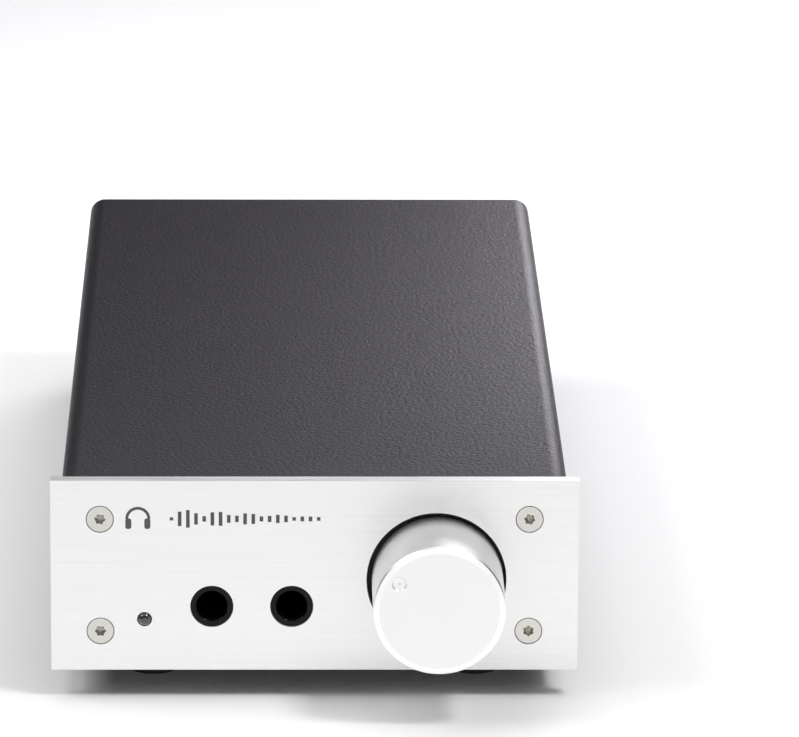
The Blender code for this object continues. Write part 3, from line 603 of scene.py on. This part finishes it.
for side in ("left", "right"):
    node = "headphone_jack_" + side
    low, high = box(node)
    centre = at_depth(node, plate_low.y)
    inside = -SNOUT_L - PAST
    corners = [(BORE_R, inside), (BORE_R, -FACE_BACK), (SNOUT_R, -FACE_BACK), (SNOUT_R, inside)]
    lips = rounded(corners, [0.34 * MM, 0.20 * MM], 7)
    snout = turned("jack_snout_" + side, lips, centre, FRONT, ring=True)
    housing = block("jack_housing_" + side, (low.x, plate_low.y + SNOUT_L, low.z), high, 0.5 * MM, 3)
    cut_away(housing, rod("bore_cutter", BORE_R, -SNOUT_L + PAST, -BORE_L, centre, FRONT))
    fit(snout, GLOSS, "chassis", "jack_plastic", node)
    fit(housing, GLOSS, "chassis", "jack_plastic", node)

# ---- Pilot lamp ----
# A 3 mm clear smoked lamp, unlit. Its dome stands a little proud of the plate, and a thin gap shows round it.

LAMP_R = 1.46 * MM
LAMP_REACH = 0.95 * MM
LAMP_L = 7.5 * MM


def smoked_lens():
    material, tree, shader, place = new_material("smoked_lens", (0.05, 0.05, 0.05), 0.10)
    shader.inputs["Coat Weight"].default_value = 1.0
    shader.inputs["Coat Roughness"].default_value = 0.03
    # Painted light: the lens's base colour is lighter low in the dome and darker at its top, standing in for
    # light gathered inside it.
    z = add(tree, "ShaderNodeSeparateXYZ", {0: place}).outputs[2]
    level = middle("pilot_lamp").z
    fade = spread(tree, z, 0.0, 1.0, level - LAMP_R, level + LAMP_R)
    tint(tree, shader, fade, (0.07, 0.07, 0.068), (0.015, 0.015, 0.016))
    return material


turns = [radians(angle) for angle in range(0, 91, 6)]
dome = [(LAMP_R * sin(turn), LAMP_REACH - LAMP_R * (1 - cos(turn))) for turn in turns]
lamp = turned("lamp_lens", dome + [(LAMP_R, -LAMP_L), (0, -LAMP_L)], at_depth("pilot_lamp", plate_low.y),
              FRONT, MID_POINTS)
fit(lamp, smoked_lens(), "chassis", "lamp_lens", "pilot_lamp")

# ---- Volume knob ----
# One piece of aluminium bar, turned with a fine feed and satin anodised. A ring is cut round the face, and a
# drilled dimple near it is the pointer. The ring's brightness is partly its bright cut and partly a painted
# highlight, as the ring and side get a lighter base colour than the face. A grub screw opposite the dimple
# grips the shaft.

knob_low, knob_high = box("volume_knob")
KNOB_R = (knob_high.x - knob_low.x) / 2
RING_W = 1.3 * MM  # the bright ring round the face
RING_DROP = 0.2 * MM  # how far it falls away outwards
CORNER_BREAK = 0.25 * MM
DIMPLE_ORBIT = 10.2 * MM
DIMPLE_ANGLE = radians(144.8)
DIMPLE_R = 1.45 * MM
DIMPLE_FLOOR = 0.36 * MM
DIMPLE_TIP = 0.80 * MM
HOLLOW_R = 8.5 * MM  # the knob is hollow behind, round its boss
HOLLOW_FROM = 17 * MM
SHAFT_BORE_R = 3.3 * MM
SHAFT_BORE_FROM = 3.7 * MM
GRUB_HOLE_R = 1.5 * MM
GRUB_HOLE_FROM = 2 * MM

knob_face = Vector((knob_axis.x, knob_low.y, knob_axis.z))
knob_depth = knob_high.y - knob_low.y
corners = [(0, 0), (KNOB_R - RING_W, 0), (KNOB_R - CORNER_BREAK, -RING_DROP),
           (KNOB_R, -RING_DROP - CORNER_BREAK), (KNOB_R, -knob_depth), (HOLLOW_R, -knob_depth),
           (HOLLOW_R, -HOLLOW_FROM), (SHAFT_BORE_R, -HOLLOW_FROM), (SHAFT_BORE_R, -SHAFT_BORE_FROM)]
profile = rounded(corners, [0.5 * MM, 0.2 * MM, 0.2 * MM, 0.3 * MM, 0.3 * MM, 0.3 * MM, 0.1 * MM])
knob = turned("volume_knob_turned", profile + [(0, -SHAFT_BORE_FROM)], knob_face, FRONT, FINE_POINTS)
pointing = Vector((cos(DIMPLE_ANGLE), 0, sin(DIMPLE_ANGLE)))
mouth = DIMPLE_R + 0.05 * MM
dimple = turned("dimple", [(0, PAST), (mouth, PAST), (mouth, 0), (DIMPLE_R - 0.17 * MM, -0.30 * MM),
                           (0.22 * MM, -DIMPLE_FLOOR), (0, -DIMPLE_TIP)],
                knob_face + pointing * DIMPLE_ORBIT, FRONT, MID_POINTS)
grub_out = -pointing
grub_level = Vector((0, middle("knob_grub_screw").y - knob_low.y, 0))
grub_hole = rod("grub_hole", GRUB_HOLE_R, KNOB_R + PAST, GRUB_HOLE_FROM, knob_face + grub_level,
                grub_out, SMALL_POINTS)
cut_away(knob, dimple, grub_hole)


def turned_aluminium():
    """Fine rings on the face and fine hoops round the side, from the distance to the axis and the depth. The
    ring and side get a lighter base colour than the face, a painted highlight.
    """
    material, tree, shader, place = new_material("turned_aluminium", (0.88, 0.88, 0.875), 0.34, 1.0)
    local = add(tree, "ShaderNodeVectorMath", {0: place, 1: knob_face}, operation="SUBTRACT").outputs[0]
    parts = add(tree, "ShaderNodeSeparateXYZ", {0: local}).outputs
    flat = add(tree, "ShaderNodeCombineXYZ", {0: parts[0], 2: parts[2]}).outputs[0]
    radius = add(tree, "ShaderNodeVectorMath", {0: flat}, operation="LENGTH").outputs["Value"]
    rings = []
    for value in (radius, parts[1]):
        feed = add(tree, "ShaderNodeTexNoise", {"W": value, "Scale": 7000.0, "Detail": 2.0},
                   noise_dimensions="1D")
        rings.append(feed.outputs["Fac"])
    height = maths(tree, "ADD", *rings)
    roughen(tree, shader, height, 0.30, 0.38, 0.7, 1.3)
    side = spread(tree, radius, 0.04, 1.0, KNOB_R - 0.3 * MM, KNOB_R - 0.05 * MM)
    # Painted highlight: the ring and the side get a lighter base colour than the face, standing in for the
    # bright cut's sharper reflection.
    ring = spread(tree, radius, 0.0, 1.0, KNOB_R - RING_W - 0.02 * MM, KNOB_R - RING_W + 0.02 * MM)
    tint(tree, shader, ring, (0.86, 0.86, 0.855), (0.97, 0.97, 0.97))
    dent(tree, shader, maths(tree, "MULTIPLY", height, side), 1.0, 0.03 * MM)
    return material


fit(knob, turned_aluminium(), "volume_knob", "knob_metal", "volume_knob")

# ---- Case cover ----
# One sheet of 1.2 mm steel, folded over the top and sides with lips turned in below, and powder coated a
# slightly violet black. The coat has a fine orange-peel surface and is a little thicker at the edges.

SHEET = 1.2 * MM
COVER_FOLD_R = 3.5 * MM
COVER_LIP = 9.0 * MM
LOWER_FOLD_R = 1.6 * MM
COAT_EDGE = 0.28 * MM
LIP_HOLE_R = 1.75 * MM

cover_low, cover_high = box("top_cover")


def at_level(node, z):
    """A node's middle, moved along Z to a level."""
    return Vector((middle(node).x, middle(node).y, z))


def folded(name, path, length):
    """A sheet bent along a path of (x, z) points and swept to a length along Y."""
    shape = bmesh.new()
    ends = []
    for y in (-length / 2, length / 2):
        ends.append([shape.verts.new((point.x, y, point.y)) for point in path])
    for step in range(len(path) - 1):
        shape.faces.new((ends[0][step], ends[0][step + 1], ends[1][step + 1], ends[1][step]))
    mesh = bpy.data.meshes.new(name)
    shape.to_mesh(mesh)
    shape.free()
    sheet = link(name, mesh)
    solidify = sheet.modifiers.new("sheet", "SOLIDIFY")
    solidify.thickness = SHEET
    solidify.offset = 0.0
    solidify.use_even_offset = True
    return settle(sheet)


half_w = (cover_high.x - cover_low.x) / 2 - SHEET / 2
low_z = cover_low.z + SHEET / 2
high_z = cover_high.z - SHEET / 2
lip_x = half_w + SHEET / 2 - COVER_LIP
corners = [(-lip_x, low_z), (-half_w, low_z), (-half_w, high_z), (half_w, high_z), (half_w, low_z),
           (lip_x, low_z)]
fold = COVER_FOLD_R - SHEET / 2
low_fold = LOWER_FOLD_R - SHEET / 2
path = rounded(corners, [low_fold, fold, fold, low_fold], 12, 0.1 * MM)
cover = folded("case_cover", path, cover_high.y - cover_low.y)
shift(cover, Vector((0, (cover_low.y + cover_high.y) / 2, 0)))
cover_screw_nodes = nodes_called("cover_screw_")
cutters = [rod("lip_hole", LIP_HOLE_R, PAST, -1.4 * MM, at_level(node, cover_low.z), DOWN, 32)
           for node in cover_screw_nodes]
cut_away(cover, *cutters)
break_edges(cover, COAT_EDGE, 3)


def peel_group():
    """Orange peel: soft cells under a finer grain, as one height."""
    group, inputs, outputs = shader_group("orange_peel", ("Cells", "Float"), ("Grain", "Float"))
    layers = []
    for label, detail, roughness in (("Cells", 1.0, 0.4), ("Grain", 2.0, 0.6)):
        layer = add(group, "ShaderNodeTexNoise", {"Vector": inputs["Place"], "Scale": inputs[label],
                                                  "Detail": detail, "Roughness": roughness})
        layers.append(layer.outputs["Fac"])
    group.links.new(maths(group, "ADD", *layers), outputs["Height"])
    group.links.new(layers[1], outputs["Tone"])
    return group


PEEL = peel_group()


def powder_coat(name, colour, roughness, cells, grain, strength):
    material, tree, shader, place = new_material(name, colour, roughness)
    height, tone = use_group(tree, PEEL, place, Cells=cells, Grain=grain)
    roughen(tree, shader, tone, roughness - 0.06, roughness + 0.06)
    dent(tree, shader, height, strength, 0.1 * MM)
    return material


COVER_COAT = powder_coat("violet_black_powder_coat", (0.0116, 0.0099, 0.0136), 0.46, 1100, 2600, 1.1)
fit(cover, COVER_COAT, "chassis", "powder_coat", "top_cover")

# ---- Tray ----
# The lower half of the case is one sheet too, punched and then folded up into a front and a rear wall. It
# has the cover's coat, only finer and more matt, and it carries everything else.

TRAY_EDGE = 0.16 * MM
MERGE = 0.002 * MM


def refined(name, node, edge, material, slot, body="chassis", segments=2):
    """A merged copy of a solid, its flat faces made whole, its hard edges broken and its finish on."""
    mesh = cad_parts[node].data.copy()
    mesh.materials.clear()
    shape = bmesh.new()
    shape.from_mesh(mesh)
    bmesh.ops.remove_doubles(shape, verts=shape.verts, dist=MERGE)
    bmesh.ops.dissolve_limit(shape, angle_limit=radians(1), verts=shape.verts, edges=shape.edges)
    shape.to_mesh(mesh)
    shape.free()
    fit(break_edges(link(name, mesh), edge, segments), material, body, slot, node)


TRAY_COAT = powder_coat("matt_black_coat", (0.014, 0.014, 0.015), 0.60, 1500, 3600, 0.35)
refined("tray", "chassis_tray", TRAY_EDGE, TRAY_COAT, "tray_paint")

# ---- Feet and cover screws ----
# Four moulded rubber feet are pressed into the tray's floor, each with a ring-shaped hollow in its base. Four
# blackened button-head screws come up through the cover's lips.

FOOT_R = 6.5 * MM
FOOT_BASE_R = 5.6 * MM
BUTTON_R = 2.7 * MM
BUTTON_H = 1.5 * MM
BUTTON_FLAT_R = 1.55 * MM
BUTTON_RIM = 0.55 * MM
TREAD_R = 4.0 * MM  # the ring-shaped hollow's outer wall
HOLLOW_DEPTH = 0.9 * MM
HUB_DEPTH = 0.6 * MM


def moulded(name, colour, roughness, grain=1.0):
    """Moulded plastic or rubber: a spark-eroded grain, and a slightly uneven gloss."""
    material, tree, shader, place = new_material(name, colour, roughness)
    height, tone = use_group(tree, PEEL, place, Cells=1700 / grain, Grain=5200 / grain)
    roughen(tree, shader, tone, roughness - 0.05, roughness + 0.07)
    tint(tree, shader, tone, [channel * 0.82 for channel in colour], colour)
    dent(tree, shader, height, 0.3, 0.04 * MM)
    return material


RUBBER = moulded("black_rubber", (0.020, 0.020, 0.021), 0.72, 1.6)
for node in nodes_called("foot_"):
    low, high = box(node)
    base = cover_low.z - low.z
    top = cover_low.z - high.z
    hollow = base - HOLLOW_DEPTH
    hub = base - HUB_DEPTH
    corners = [(2.2 * MM, hollow), (TREAD_R, hollow), (TREAD_R + 0.1 * MM, base), (FOOT_BASE_R, base),
               (FOOT_R, 1.5 * MM), (FOOT_R, top)]
    skin = rounded(corners, [0.15 * MM, 0.25 * MM, 0.7 * MM, 1.2 * MM], 6)
    profile = [(0, hub), (1.9 * MM, hub), *skin, (0, top)]
    foot = turned("rubber_" + node, profile, at_level(node, cover_low.z), DOWN)
    fit(foot, RUBBER, "chassis", "foot_rubber", node)


def button_screw(name, length, facing):
    """A low round head on a shank, made at the origin with the head's seat at zero."""
    corners = [(DRIVE_R * 1.08, BUTTON_H), (BUTTON_FLAT_R, BUTTON_H), (BUTTON_R, BUTTON_RIM), (BUTTON_R, 0),
               (SHANK_R, 0), (SHANK_R, -length)]
    head = rounded(corners, [0.8 * MM, 0.5 * MM, 0.08 * MM, 0.1 * MM], 6)
    return lobed_head(name, head + [(0, -length)], facing, ORIGIN)


BLACKENED = steel("blackened_steel", (0.060, 0.058, 0.056), 0.38)
pattern = button_screw("button_pattern", 4.6 * MM, DOWN)
spots = [at_level(node, box(node)[0].z + BUTTON_H) for node in cover_screw_nodes]
drive_in("cover_screws", pattern, spots, DOWN, 7, BLACKENED, "dark_steel", *cover_screw_nodes)

# ---- Volume control ----
# A sealed rotary control sits behind the tray's wall on its threaded brass bush and a thin hexagon nut. Its
# shaft and the grub screw turn with the knob.


def drawn_metal(name, colour, roughness, metallic, fine, broad, low, high, strength, depth):
    """A metal with long tool marks along one direction."""
    material, tree, shader, place = new_material(name, colour, roughness, metallic)
    height, tone = use_group(tree, GRAIN, place, Fine=fine, Broad=broad)
    roughen(tree, shader, tone, low, high)
    dent(tree, shader, height, strength, depth)
    return material


BRASS = drawn_metal("machined_brass", (0.70, 0.60, 0.36), 0.28, 1.0, (5000, 300, 5000), (900, 90, 900),
                    0.22, 0.38, 0.2, 0.01 * MM)
SHAFT_R = 3 * MM
SPLINES = 18


def splined(number, turn):
    """Fine grooves along a shaft, in the rings at its end."""
    return 1 - 0.025 * (0.5 + 0.5 * cos(SPLINES * turn)) if number in (1, 2) else 1


shaft_low, shaft_high = box("control_shaft")
shaft_l = shaft_high.y - shaft_low.y
outline = [(0, 0), (SHAFT_R - 0.5 * MM, 0), (SHAFT_R, -0.5 * MM), (SHAFT_R, -shaft_l), (0, -shaft_l)]
shaft = turned("splined_shaft", outline, at_depth("control_shaft", shaft_low.y), FRONT, 72, waves=splined)
fit(shaft, BRASS, "volume_knob", "brass_fittings", "control_shaft")

bush_low, bush_high = box("control_bush")
bush_l = bush_high.y - bush_low.y
BUSH_BORE_R = 3.3 * MM
THREAD_ROOT_R = 4.2 * MM
THREAD_R = 4.5 * MM
THREADS = 12
thread = [(BUSH_BORE_R, 0)]
for step in range(THREADS):
    along = -bush_l * (step + 0.25) / THREADS
    thread += [(THREAD_ROOT_R, along), (THREAD_R, along - bush_l * 0.5 / THREADS)]
thread += [(THREAD_ROOT_R, -bush_l), (BUSH_BORE_R, -bush_l)]
bush = turned("threaded_bush", thread, at_depth("control_bush", bush_low.y), FRONT, MID_POINTS, ring=True)
fit(bush, BRASS, "chassis", "brass_fittings", "control_bush")
refined("hexagon_nut", "control_nut", 0.2 * MM, BRASS, "brass_fittings")
CONTROL_CAN = steel("control_can", (0.30, 0.30, 0.31), 0.34)
refined("control_case", "volume_control", 0.25 * MM, CONTROL_CAN, "dark_steel")


def hexagon(number, turn):
    """A hexagonal socket in a turned piece's first rings."""
    return cos(pi / 6) / cos(turn % (pi / 3) - pi / 6) if number in (1, 2) else 1


GRUB_R = 1.2 * MM
GRUB_L = 4.5 * MM
grub_end = middle("knob_grub_screw") + grub_out * GRUB_L / 2
grub = turned("grub_screw", [(0, -1.6 * MM), (0.68 * MM, -1.5 * MM), (0.72 * MM, 0), (1.06 * MM, 0),
                             (GRUB_R, -0.14 * MM), (GRUB_R, -4.1 * MM), (0.8 * MM, -GRUB_L), (0, -GRUB_L)],
              grub_end, grub_out, SMALL_POINTS, waves=hexagon)
fit(grub, BLACKENED, "volume_knob", "dark_steel", "knob_grub_screw")

# ---- Phono sockets ----
# Two pairs of panel phono sockets. Each has a nickelled shell on a coloured washer, white for left and red
# for right, and an insulator of the same colour round its centre contact.

SHELL_R = 4.15 * MM
SHELL_BORE_R = 3.5 * MM
WASHER_R = 5.6 * MM
WASHER_T = 1.6 * MM
CONTACT_R = 1.62 * MM
CLEAR = 0.3 * MM
SHELL_BACK = 13 * MM
INSULATOR_BACK = 1.1 * MM  # from the shell's end to the insulator's
SLACK = 0.03 * MM  # the gap between parts that touch

phono_nodes = nodes_called("phono_")
shell_reach = box(phono_nodes[0])[1].y - cover_high.y
NICKEL = cloudy("bright_nickel", (0.76, 0.74, 0.70), 0.14, 1.0, 700.0, 4.0, 0.08, 0.24, 0.05, 0.02 * MM)
corners = [(SHELL_BORE_R, 0.5 * MM), (SHELL_BORE_R, shell_reach), (SHELL_R, shell_reach),
           (SHELL_R, -SHELL_BACK), (SHELL_BORE_R, -SHELL_BACK)]
shell = rounded(corners, [0.12 * MM, 0.35 * MM, 0.1 * MM], 5)
pattern = turned("shell_pattern", shell, ORIGIN, REAR, MID_POINTS, ring=True)
spots = [at_depth(node, cover_high.y) for node in phono_nodes]
drive_in("phono_shells", pattern, spots, REAR, 2, NICKEL, "socket_plating", *phono_nodes)
for channel, colour in (("left", (0.72, 0.72, 0.69)), ("right", (0.42, 0.018, 0.016))):
    mine = [spot for spot, node in zip(spots, phono_nodes) if node.endswith(channel)]
    dye = moulded(f"{channel}_channel_plastic", colour, 0.35)
    slot = "white_plastic" if channel == "left" else "component_plastic"
    corners = [(SHELL_R + SLACK, CLEAR), (WASHER_R, CLEAR), (WASHER_R, CLEAR + WASHER_T),
               (SHELL_R + SLACK, CLEAR + WASHER_T)]
    washer = rounded(corners, [0.1 * MM, 0.35 * MM], 5)
    face = shell_reach - INSULATOR_BACK
    corners = [(CONTACT_R, 1 * MM), (CONTACT_R, face), (SHELL_BORE_R - SLACK, face),
               (SHELL_BORE_R - SLACK, 1 * MM)]
    insulator = rounded(corners, [0.25 * MM, 0.15 * MM], 5)
    for part, outline in (("washer", washer), ("insulator", insulator)):
        pattern = turned(part + "_pattern", outline, ORIGIN, REAR, MID_POINTS, ring=True)
        drive_in(f"phono_{part}s_{channel}", pattern, mine, REAR, 3, dye, slot)
outer = CONTACT_R - 0.02 * MM
inner = CONTACT_R - 0.3 * MM
lining = [(outer, shell_reach - 1.5 * MM), (inner, shell_reach - 1.6 * MM), (inner, 1.2 * MM),
          (outer, 1.2 * MM)]
pattern = turned("contact_pattern", lining, ORIGIN, REAR, SMALL_POINTS, ring=True)
drive_in("phono_contacts", pattern, spots, REAR, 5, NICKEL, "socket_plating")

# ---- Mains inlet ----
# A moulded black inlet with a keyed well and three nickelled pins. Its flange is held by two screws, and the
# drawer below the well carries one 20 mm glass fuse.

INLET_PLASTIC = moulded("inlet_black", (0.014, 0.014, 0.015), 0.42)
refined("inlet_moulding", "mains_inlet", 0.22 * MM, INLET_PLASTIC, "inlet_plastic", segments=3)
for name in ("earth", "live", "neutral"):
    node = "inlet_pin_" + name
    refined("nickelled_pin_" + name, node, 0.16 * MM, NICKEL, "socket_plating", segments=3)
inlet_screw_nodes = nodes_called("inlet_screw_")
pattern = button_screw("inlet_screw_pattern", 7 * MM, REAR)
spots = [at_depth(node, box(node)[1].y - BUTTON_H) for node in inlet_screw_nodes]
drive_in("inlet_screws", pattern, spots, REAR, 11, PLATED, "screw_steel", *inlet_screw_nodes)

RIBS = 5
RIB_PITCH = 0.9 * MM
RIB_SIZE = Vector((0.4 * MM, 0.4 * MM, 4.2 * MM))
RIB_INSET = 1.6 * MM
drawer_low, drawer_high = box("fuse_drawer")


def grip_ribs():
    """A short row of ribs, which a fingernail catches."""
    tree, given, out, ribs = row_tree("grip_ribs", RIBS, RIB_PITCH, RIB_SIZE)
    end_tree(tree, ribs.outputs[0], out, INLET_PLASTIC)
    return tree


refined("fuse_drawer_moulding", "fuse_drawer", 0.2 * MM, INLET_PLASTIC, "inlet_plastic", "fuse_drawer", 3)
RIBS_TREE = grip_ribs()
last_rib = drawer_high.x - RIB_INSET - RIB_PITCH * (RIBS - 1)
for side, start in (("left", drawer_low.x + RIB_INSET), ("right", last_rib)):
    ribs = grow("drawer_ribs_" + side, RIBS_TREE)
    shift(ribs, Vector((start, drawer_high.y + 0.05 * MM, (drawer_low.z + drawer_high.z) / 2)))
    fit(break_edges(ribs, 0.1 * MM), None, "fuse_drawer", "inlet_plastic")

FUSE_R = 2.5 * MM
CAP_L = 5.0 * MM
BEVEL = 0.3 * MM
fuse_low, fuse_high = box("mains_fuse")
fuse_at = Vector((fuse_low.x, middle("mains_fuse").y, middle("mains_fuse").z))
fuse_l = fuse_high.x - fuse_low.x
ALONG = Vector((1, 0, 0))


def fuse_glass():
    material, tree, shader, place = new_material("fuse_glass", (0.92, 0.96, 0.95), 0.03)
    shader.inputs["Transmission Weight"].default_value = 1.0
    shader.inputs["IOR"].default_value = 1.47
    dent(tree, shader, noise(tree, place, 350.0, 1.0), 0.05, 0.02 * MM)
    return material


TUBE_R = FUSE_R - 0.2 * MM
TUBE_T = 0.5 * MM
tube_end = fuse_l - TUBE_T
tube = turned("fuse_tube", [(TUBE_R - TUBE_T, TUBE_T), (TUBE_R, TUBE_T), (TUBE_R, tube_end),
                            (TUBE_R - TUBE_T, tube_end)], fuse_at, ALONG, SMALL_POINTS, ring=True)
fit(tube, fuse_glass(), "fuse_drawer", "fuse_glass", "mains_fuse")
for end, start in (("first", 0), ("second", fuse_l - CAP_L)):
    cap = turned("fuse_cap_" + end, [(0, start), (FUSE_R - BEVEL, start), (FUSE_R, start + BEVEL),
                                     (FUSE_R, start + CAP_L - BEVEL), (FUSE_R - BEVEL / 2, start + CAP_L),
                                     (0, start + CAP_L)], fuse_at, ALONG, SMALL_POINTS)
    fit(cap, NICKEL, "fuse_drawer", "socket_plating")

# ---- Gain switch ----
# A small black two-way slide switch, worked with a pen through a window in the tray's floor. Its two white
# sliders have ridged faces.

SWITCH_PLASTIC = moulded("switch_black", (0.020, 0.020, 0.022), 0.40, 0.6)
SLIDER_PLASTIC = moulded("slider_white", (0.78, 0.78, 0.75), 0.38, 0.6)
refined("gain_switch_moulding", "gain_switch", 0.12 * MM, SWITCH_PLASTIC, "component_plastic")
for side in ("left", "right"):
    node = "gain_slider_" + side
    refined("gain_actuator_" + side, node, 0.14 * MM, SLIDER_PLASTIC, "white_plastic", node, 3)

# ---- Circuit board ----
# One glass-fibre board under a green mask fills the tray. It stands on four brass spacers, and every
# component is soldered to it.


def solder_mask():
    """Green mask, a little lighter over the copper tracks between its cells."""
    material, tree, shader, place = new_material("green_solder_mask", (0.010, 0.090, 0.040), 0.32)
    tracks = add(tree, "ShaderNodeTexVoronoi", {"Vector": place, "Scale": 130.0},
                 feature="DISTANCE_TO_EDGE")
    copper = spread(tree, tracks.outputs["Distance"], 1.0, 0.0, 0.08, 0.14)
    tint(tree, shader, copper, (0.008, 0.070, 0.030), (0.020, 0.150, 0.060))
    dent(tree, shader, copper, 0.4, 0.04 * MM)
    return material


refined("circuit_board", "main_board", 0.1 * MM, solder_mask(), "board_mask")
for node in nodes_called("board_spacer_"):
    refined("brass_" + node, node, 0.18 * MM, BRASS, "brass_fittings")
board_screw_nodes = nodes_called("board_screw_")
pattern = button_screw("board_screw_pattern", 4 * MM, UP)
spots = [at_level(node, box(node)[1].z - BUTTON_H) for node in board_screw_nodes]
drive_in("board_screws", pattern, spots, UP, 9, PLATED, "screw_steel", *board_screw_nodes)

# ---- Power supply ----
# A ring transformer potted in a black can, four electrolytic capacitors in blue sleeves with scored aluminium
# tops, and a flat bridge rectifier.

low, high = box("mains_transformer")
can_r = (high.x - low.x) / 2
can_h = high.z - low.z
corners = [(5 * MM, can_h - 3 * MM), (6.5 * MM, can_h - 1 * MM), (can_r - 3 * MM, can_h - 1 * MM),
           (can_r - 2.4 * MM, can_h), (can_r, can_h - 2 * MM), (can_r, 0)]
skin = rounded(corners, [0.8 * MM, 0.5 * MM, 0.3 * MM, 1.6 * MM], 6)
outline = [(0, can_h - 3 * MM), *skin, (0, 0)]
can = turned("potted_transformer", outline, at_level("mains_transformer", low.z), UP)
POT = moulded("potting_black", (0.020, 0.020, 0.022), 0.45, 2.0)
fit(can, POT, "chassis", "transformer_pot", "mains_transformer")

capacitor_nodes = nodes_called("filter_capacitor_")
low, high = box(capacitor_nodes[0])
sleeve_r = (high.x - low.x) / 2
sleeve_h = high.z - low.z
LIP_W = 1.1 * MM  # the sleeve's lip turned in over the can
lip = sleeve_h - 0.5 * MM
corners = [(sleeve_r - LIP_W, sleeve_h - 0.3 * MM), (sleeve_r - 0.7 * MM, sleeve_h), (sleeve_r, lip),
           (sleeve_r, 3.4 * MM), (sleeve_r - 0.6 * MM, 2.8 * MM), (sleeve_r, 2.2 * MM), (sleeve_r, 0)]
skin = rounded(corners, [0.1 * MM, 0.4 * MM, 0.5 * MM, 0.4 * MM, 0.5 * MM], 5)
outline = [(0, lip), (sleeve_r - LIP_W, lip), *skin, (0, 0)]
pattern = turned("sleeve_pattern", outline, ORIGIN, UP, MID_POINTS)
spots = [at_level(node, low.z) for node in capacitor_nodes]
BLUE_SLEEVE = moulded("blue_sleeve", (0.020, 0.035, 0.110), 0.30)
drive_in("capacitor_sleeves", pattern, spots, UP, 6, BLUE_SLEEVE, "capacitor_sleeve", *capacitor_nodes)


def scored(number, turn):
    """Three scores across the top, which give way under pressure."""
    return 1 - 0.03 * max(0.0, cos(3 * turn)) ** 20


top_r = sleeve_r - 1.15 * MM
outline = [(0, 0.35 * MM), (top_r * 0.55, 0.32 * MM), (top_r * 0.6, 0.2 * MM), (top_r - 0.2 * MM, 0.2 * MM),
           (top_r, 0.3 * MM), (top_r, 0.48 * MM), (0, 0.48 * MM)]
outline = [(radius, sleeve_h - below) for radius, below in outline]
pattern = turned("top_pattern", outline, ORIGIN, UP, waves=scored)
CAN_TOP = steel("can_aluminium", (0.80, 0.80, 0.80), 0.30)
drive_in("capacitor_tops", pattern, spots, UP, 8, CAN_TOP, "knob_metal")
COMPONENT = moulded("component_black", (0.024, 0.024, 0.025), 0.48)
refined("bridge_moulding", "bridge_rectifier", 0.5 * MM, COMPONENT, "component_plastic", segments=3)

# ---- Output stage ----
# Two black anodised extrusions stand on the board and cool one flat-pack transistor each. The small amplifier
# chip drives them both.

ANODISED = drawn_metal("black_anodised", (0.022, 0.022, 0.024), 0.36, 0.6, (5000, 5000, 90), (900, 900, 20),
                       0.28, 0.46, 0.25, 0.02 * MM)
for side in ("left", "right"):
    node = "heat_sink_" + side
    refined("extruded_" + node, node, 0.18 * MM, ANODISED, "heat_sink_metal")
    node = "output_transistor_" + side
    refined("moulded_" + node, node, 0.35 * MM, COMPONENT, "component_plastic")
refined("chip_moulding", "amplifier_chip", 0.3 * MM, COMPONENT, "component_plastic")

# ---- Studio ----
# A pale table under a small hard light above and to the right, and broad soft ones overhead, behind, to the
# left and in front. Two weak, slightly violet ones behind on the right brighten the case's edge.

FLOOR_SIDE = 6.0


def studio_floor():
    mesh = bpy.data.meshes.new("studio_floor")
    half = FLOOR_SIDE / 2
    corners = [(-half, -half, 0), (half, -half, 0), (half, half, 0), (-half, half, 0)]
    mesh.from_pydata(corners, [], [range(4)])
    floor = link("studio_floor", mesh)
    mesh.materials.append(new_material("pale_table", (0.90, 0.90, 0.90), 0.7)[0])


VIOLET = (1.0, 0.96, 1.04)


def softbox(name, at, target, width, height, power, colour=(1, 1, 1)):
    light = bpy.data.lights.new(name, "AREA")
    light.shape = "RECTANGLE"
    light.size = width
    light.size_y = height
    light.energy = power
    light.color = colour
    lamp_obj = link(name, light)
    lamp_obj.location = at
    lamp_obj.rotation_euler = (Vector(target) - Vector(at)).to_track_quat("-Z", "Y").to_euler()
    lamp_obj.visible_camera = False


studio_floor()
softbox("key_above_right", (0.48, -0.36, 0.88), (0, -0.02, 0.02), 0.22, 0.22, 4.0)
softbox("soft_above_left", (-0.80, -0.10, 0.90), (0, -0.05, 0), 0.9, 0.6, 6.8)
softbox("broad_overhead", (0.0, -0.10, 1.00), (0, -0.05, 0), 1.4, 1.2, 4.2)
softbox("above_behind", (0.0, 0.25, 1.10), (0, 0.10, 0), 0.8, 0.8, 3.6)
softbox("front_wall", (0.0, -1.90, 0.35), (0, 0, 0.03), 2.0, 0.5, 6.2)
softbox("glow_behind_right", (0.15, 0.45, 0.15), (0, 0.05, 0.04), 0.14, 0.06, 0.20, VIOLET)
softbox("high_behind_right", (0.30, 0.62, 0.38), (0, 0.05, 0.04), 0.45, 0.30, 1.6, VIOLET)

WORLD_GLOW = 0.02
world = bpy.data.worlds.new("studio")
world.use_nodes = True
world.node_tree.nodes["Background"].inputs["Color"].default_value = (1, 1, 1, 1)
world.node_tree.nodes["Background"].inputs["Strength"].default_value = WORLD_GLOW
bpy.context.scene.world = world
bpy.context.scene.view_settings.view_transform = "Standard"

CAMERA_AT = (-0.0078, -1.4354, 0.4460)
CAMERA_PITCH = radians(15.84)
CAMERA_YAW = radians(-1.095)
CAMERA_ROLL = radians(0.34)
LENS_MM = 299.1
SENSOR_MM = 36
NEAR_CLIP = 0.05

camera_data = bpy.data.cameras.new("camera")
camera_data.lens = LENS_MM
camera_data.sensor_width = SENSOR_MM
camera_data.clip_start = NEAR_CLIP
camera = link("camera", camera_data)
turn = Euler((pi / 2 - CAMERA_PITCH, 0, CAMERA_YAW)).to_matrix() @ Matrix.Rotation(CAMERA_ROLL, 3, "Z")
camera.rotation_euler = turn.to_euler()
camera.location = CAMERA_AT
bpy.context.scene.camera = camera
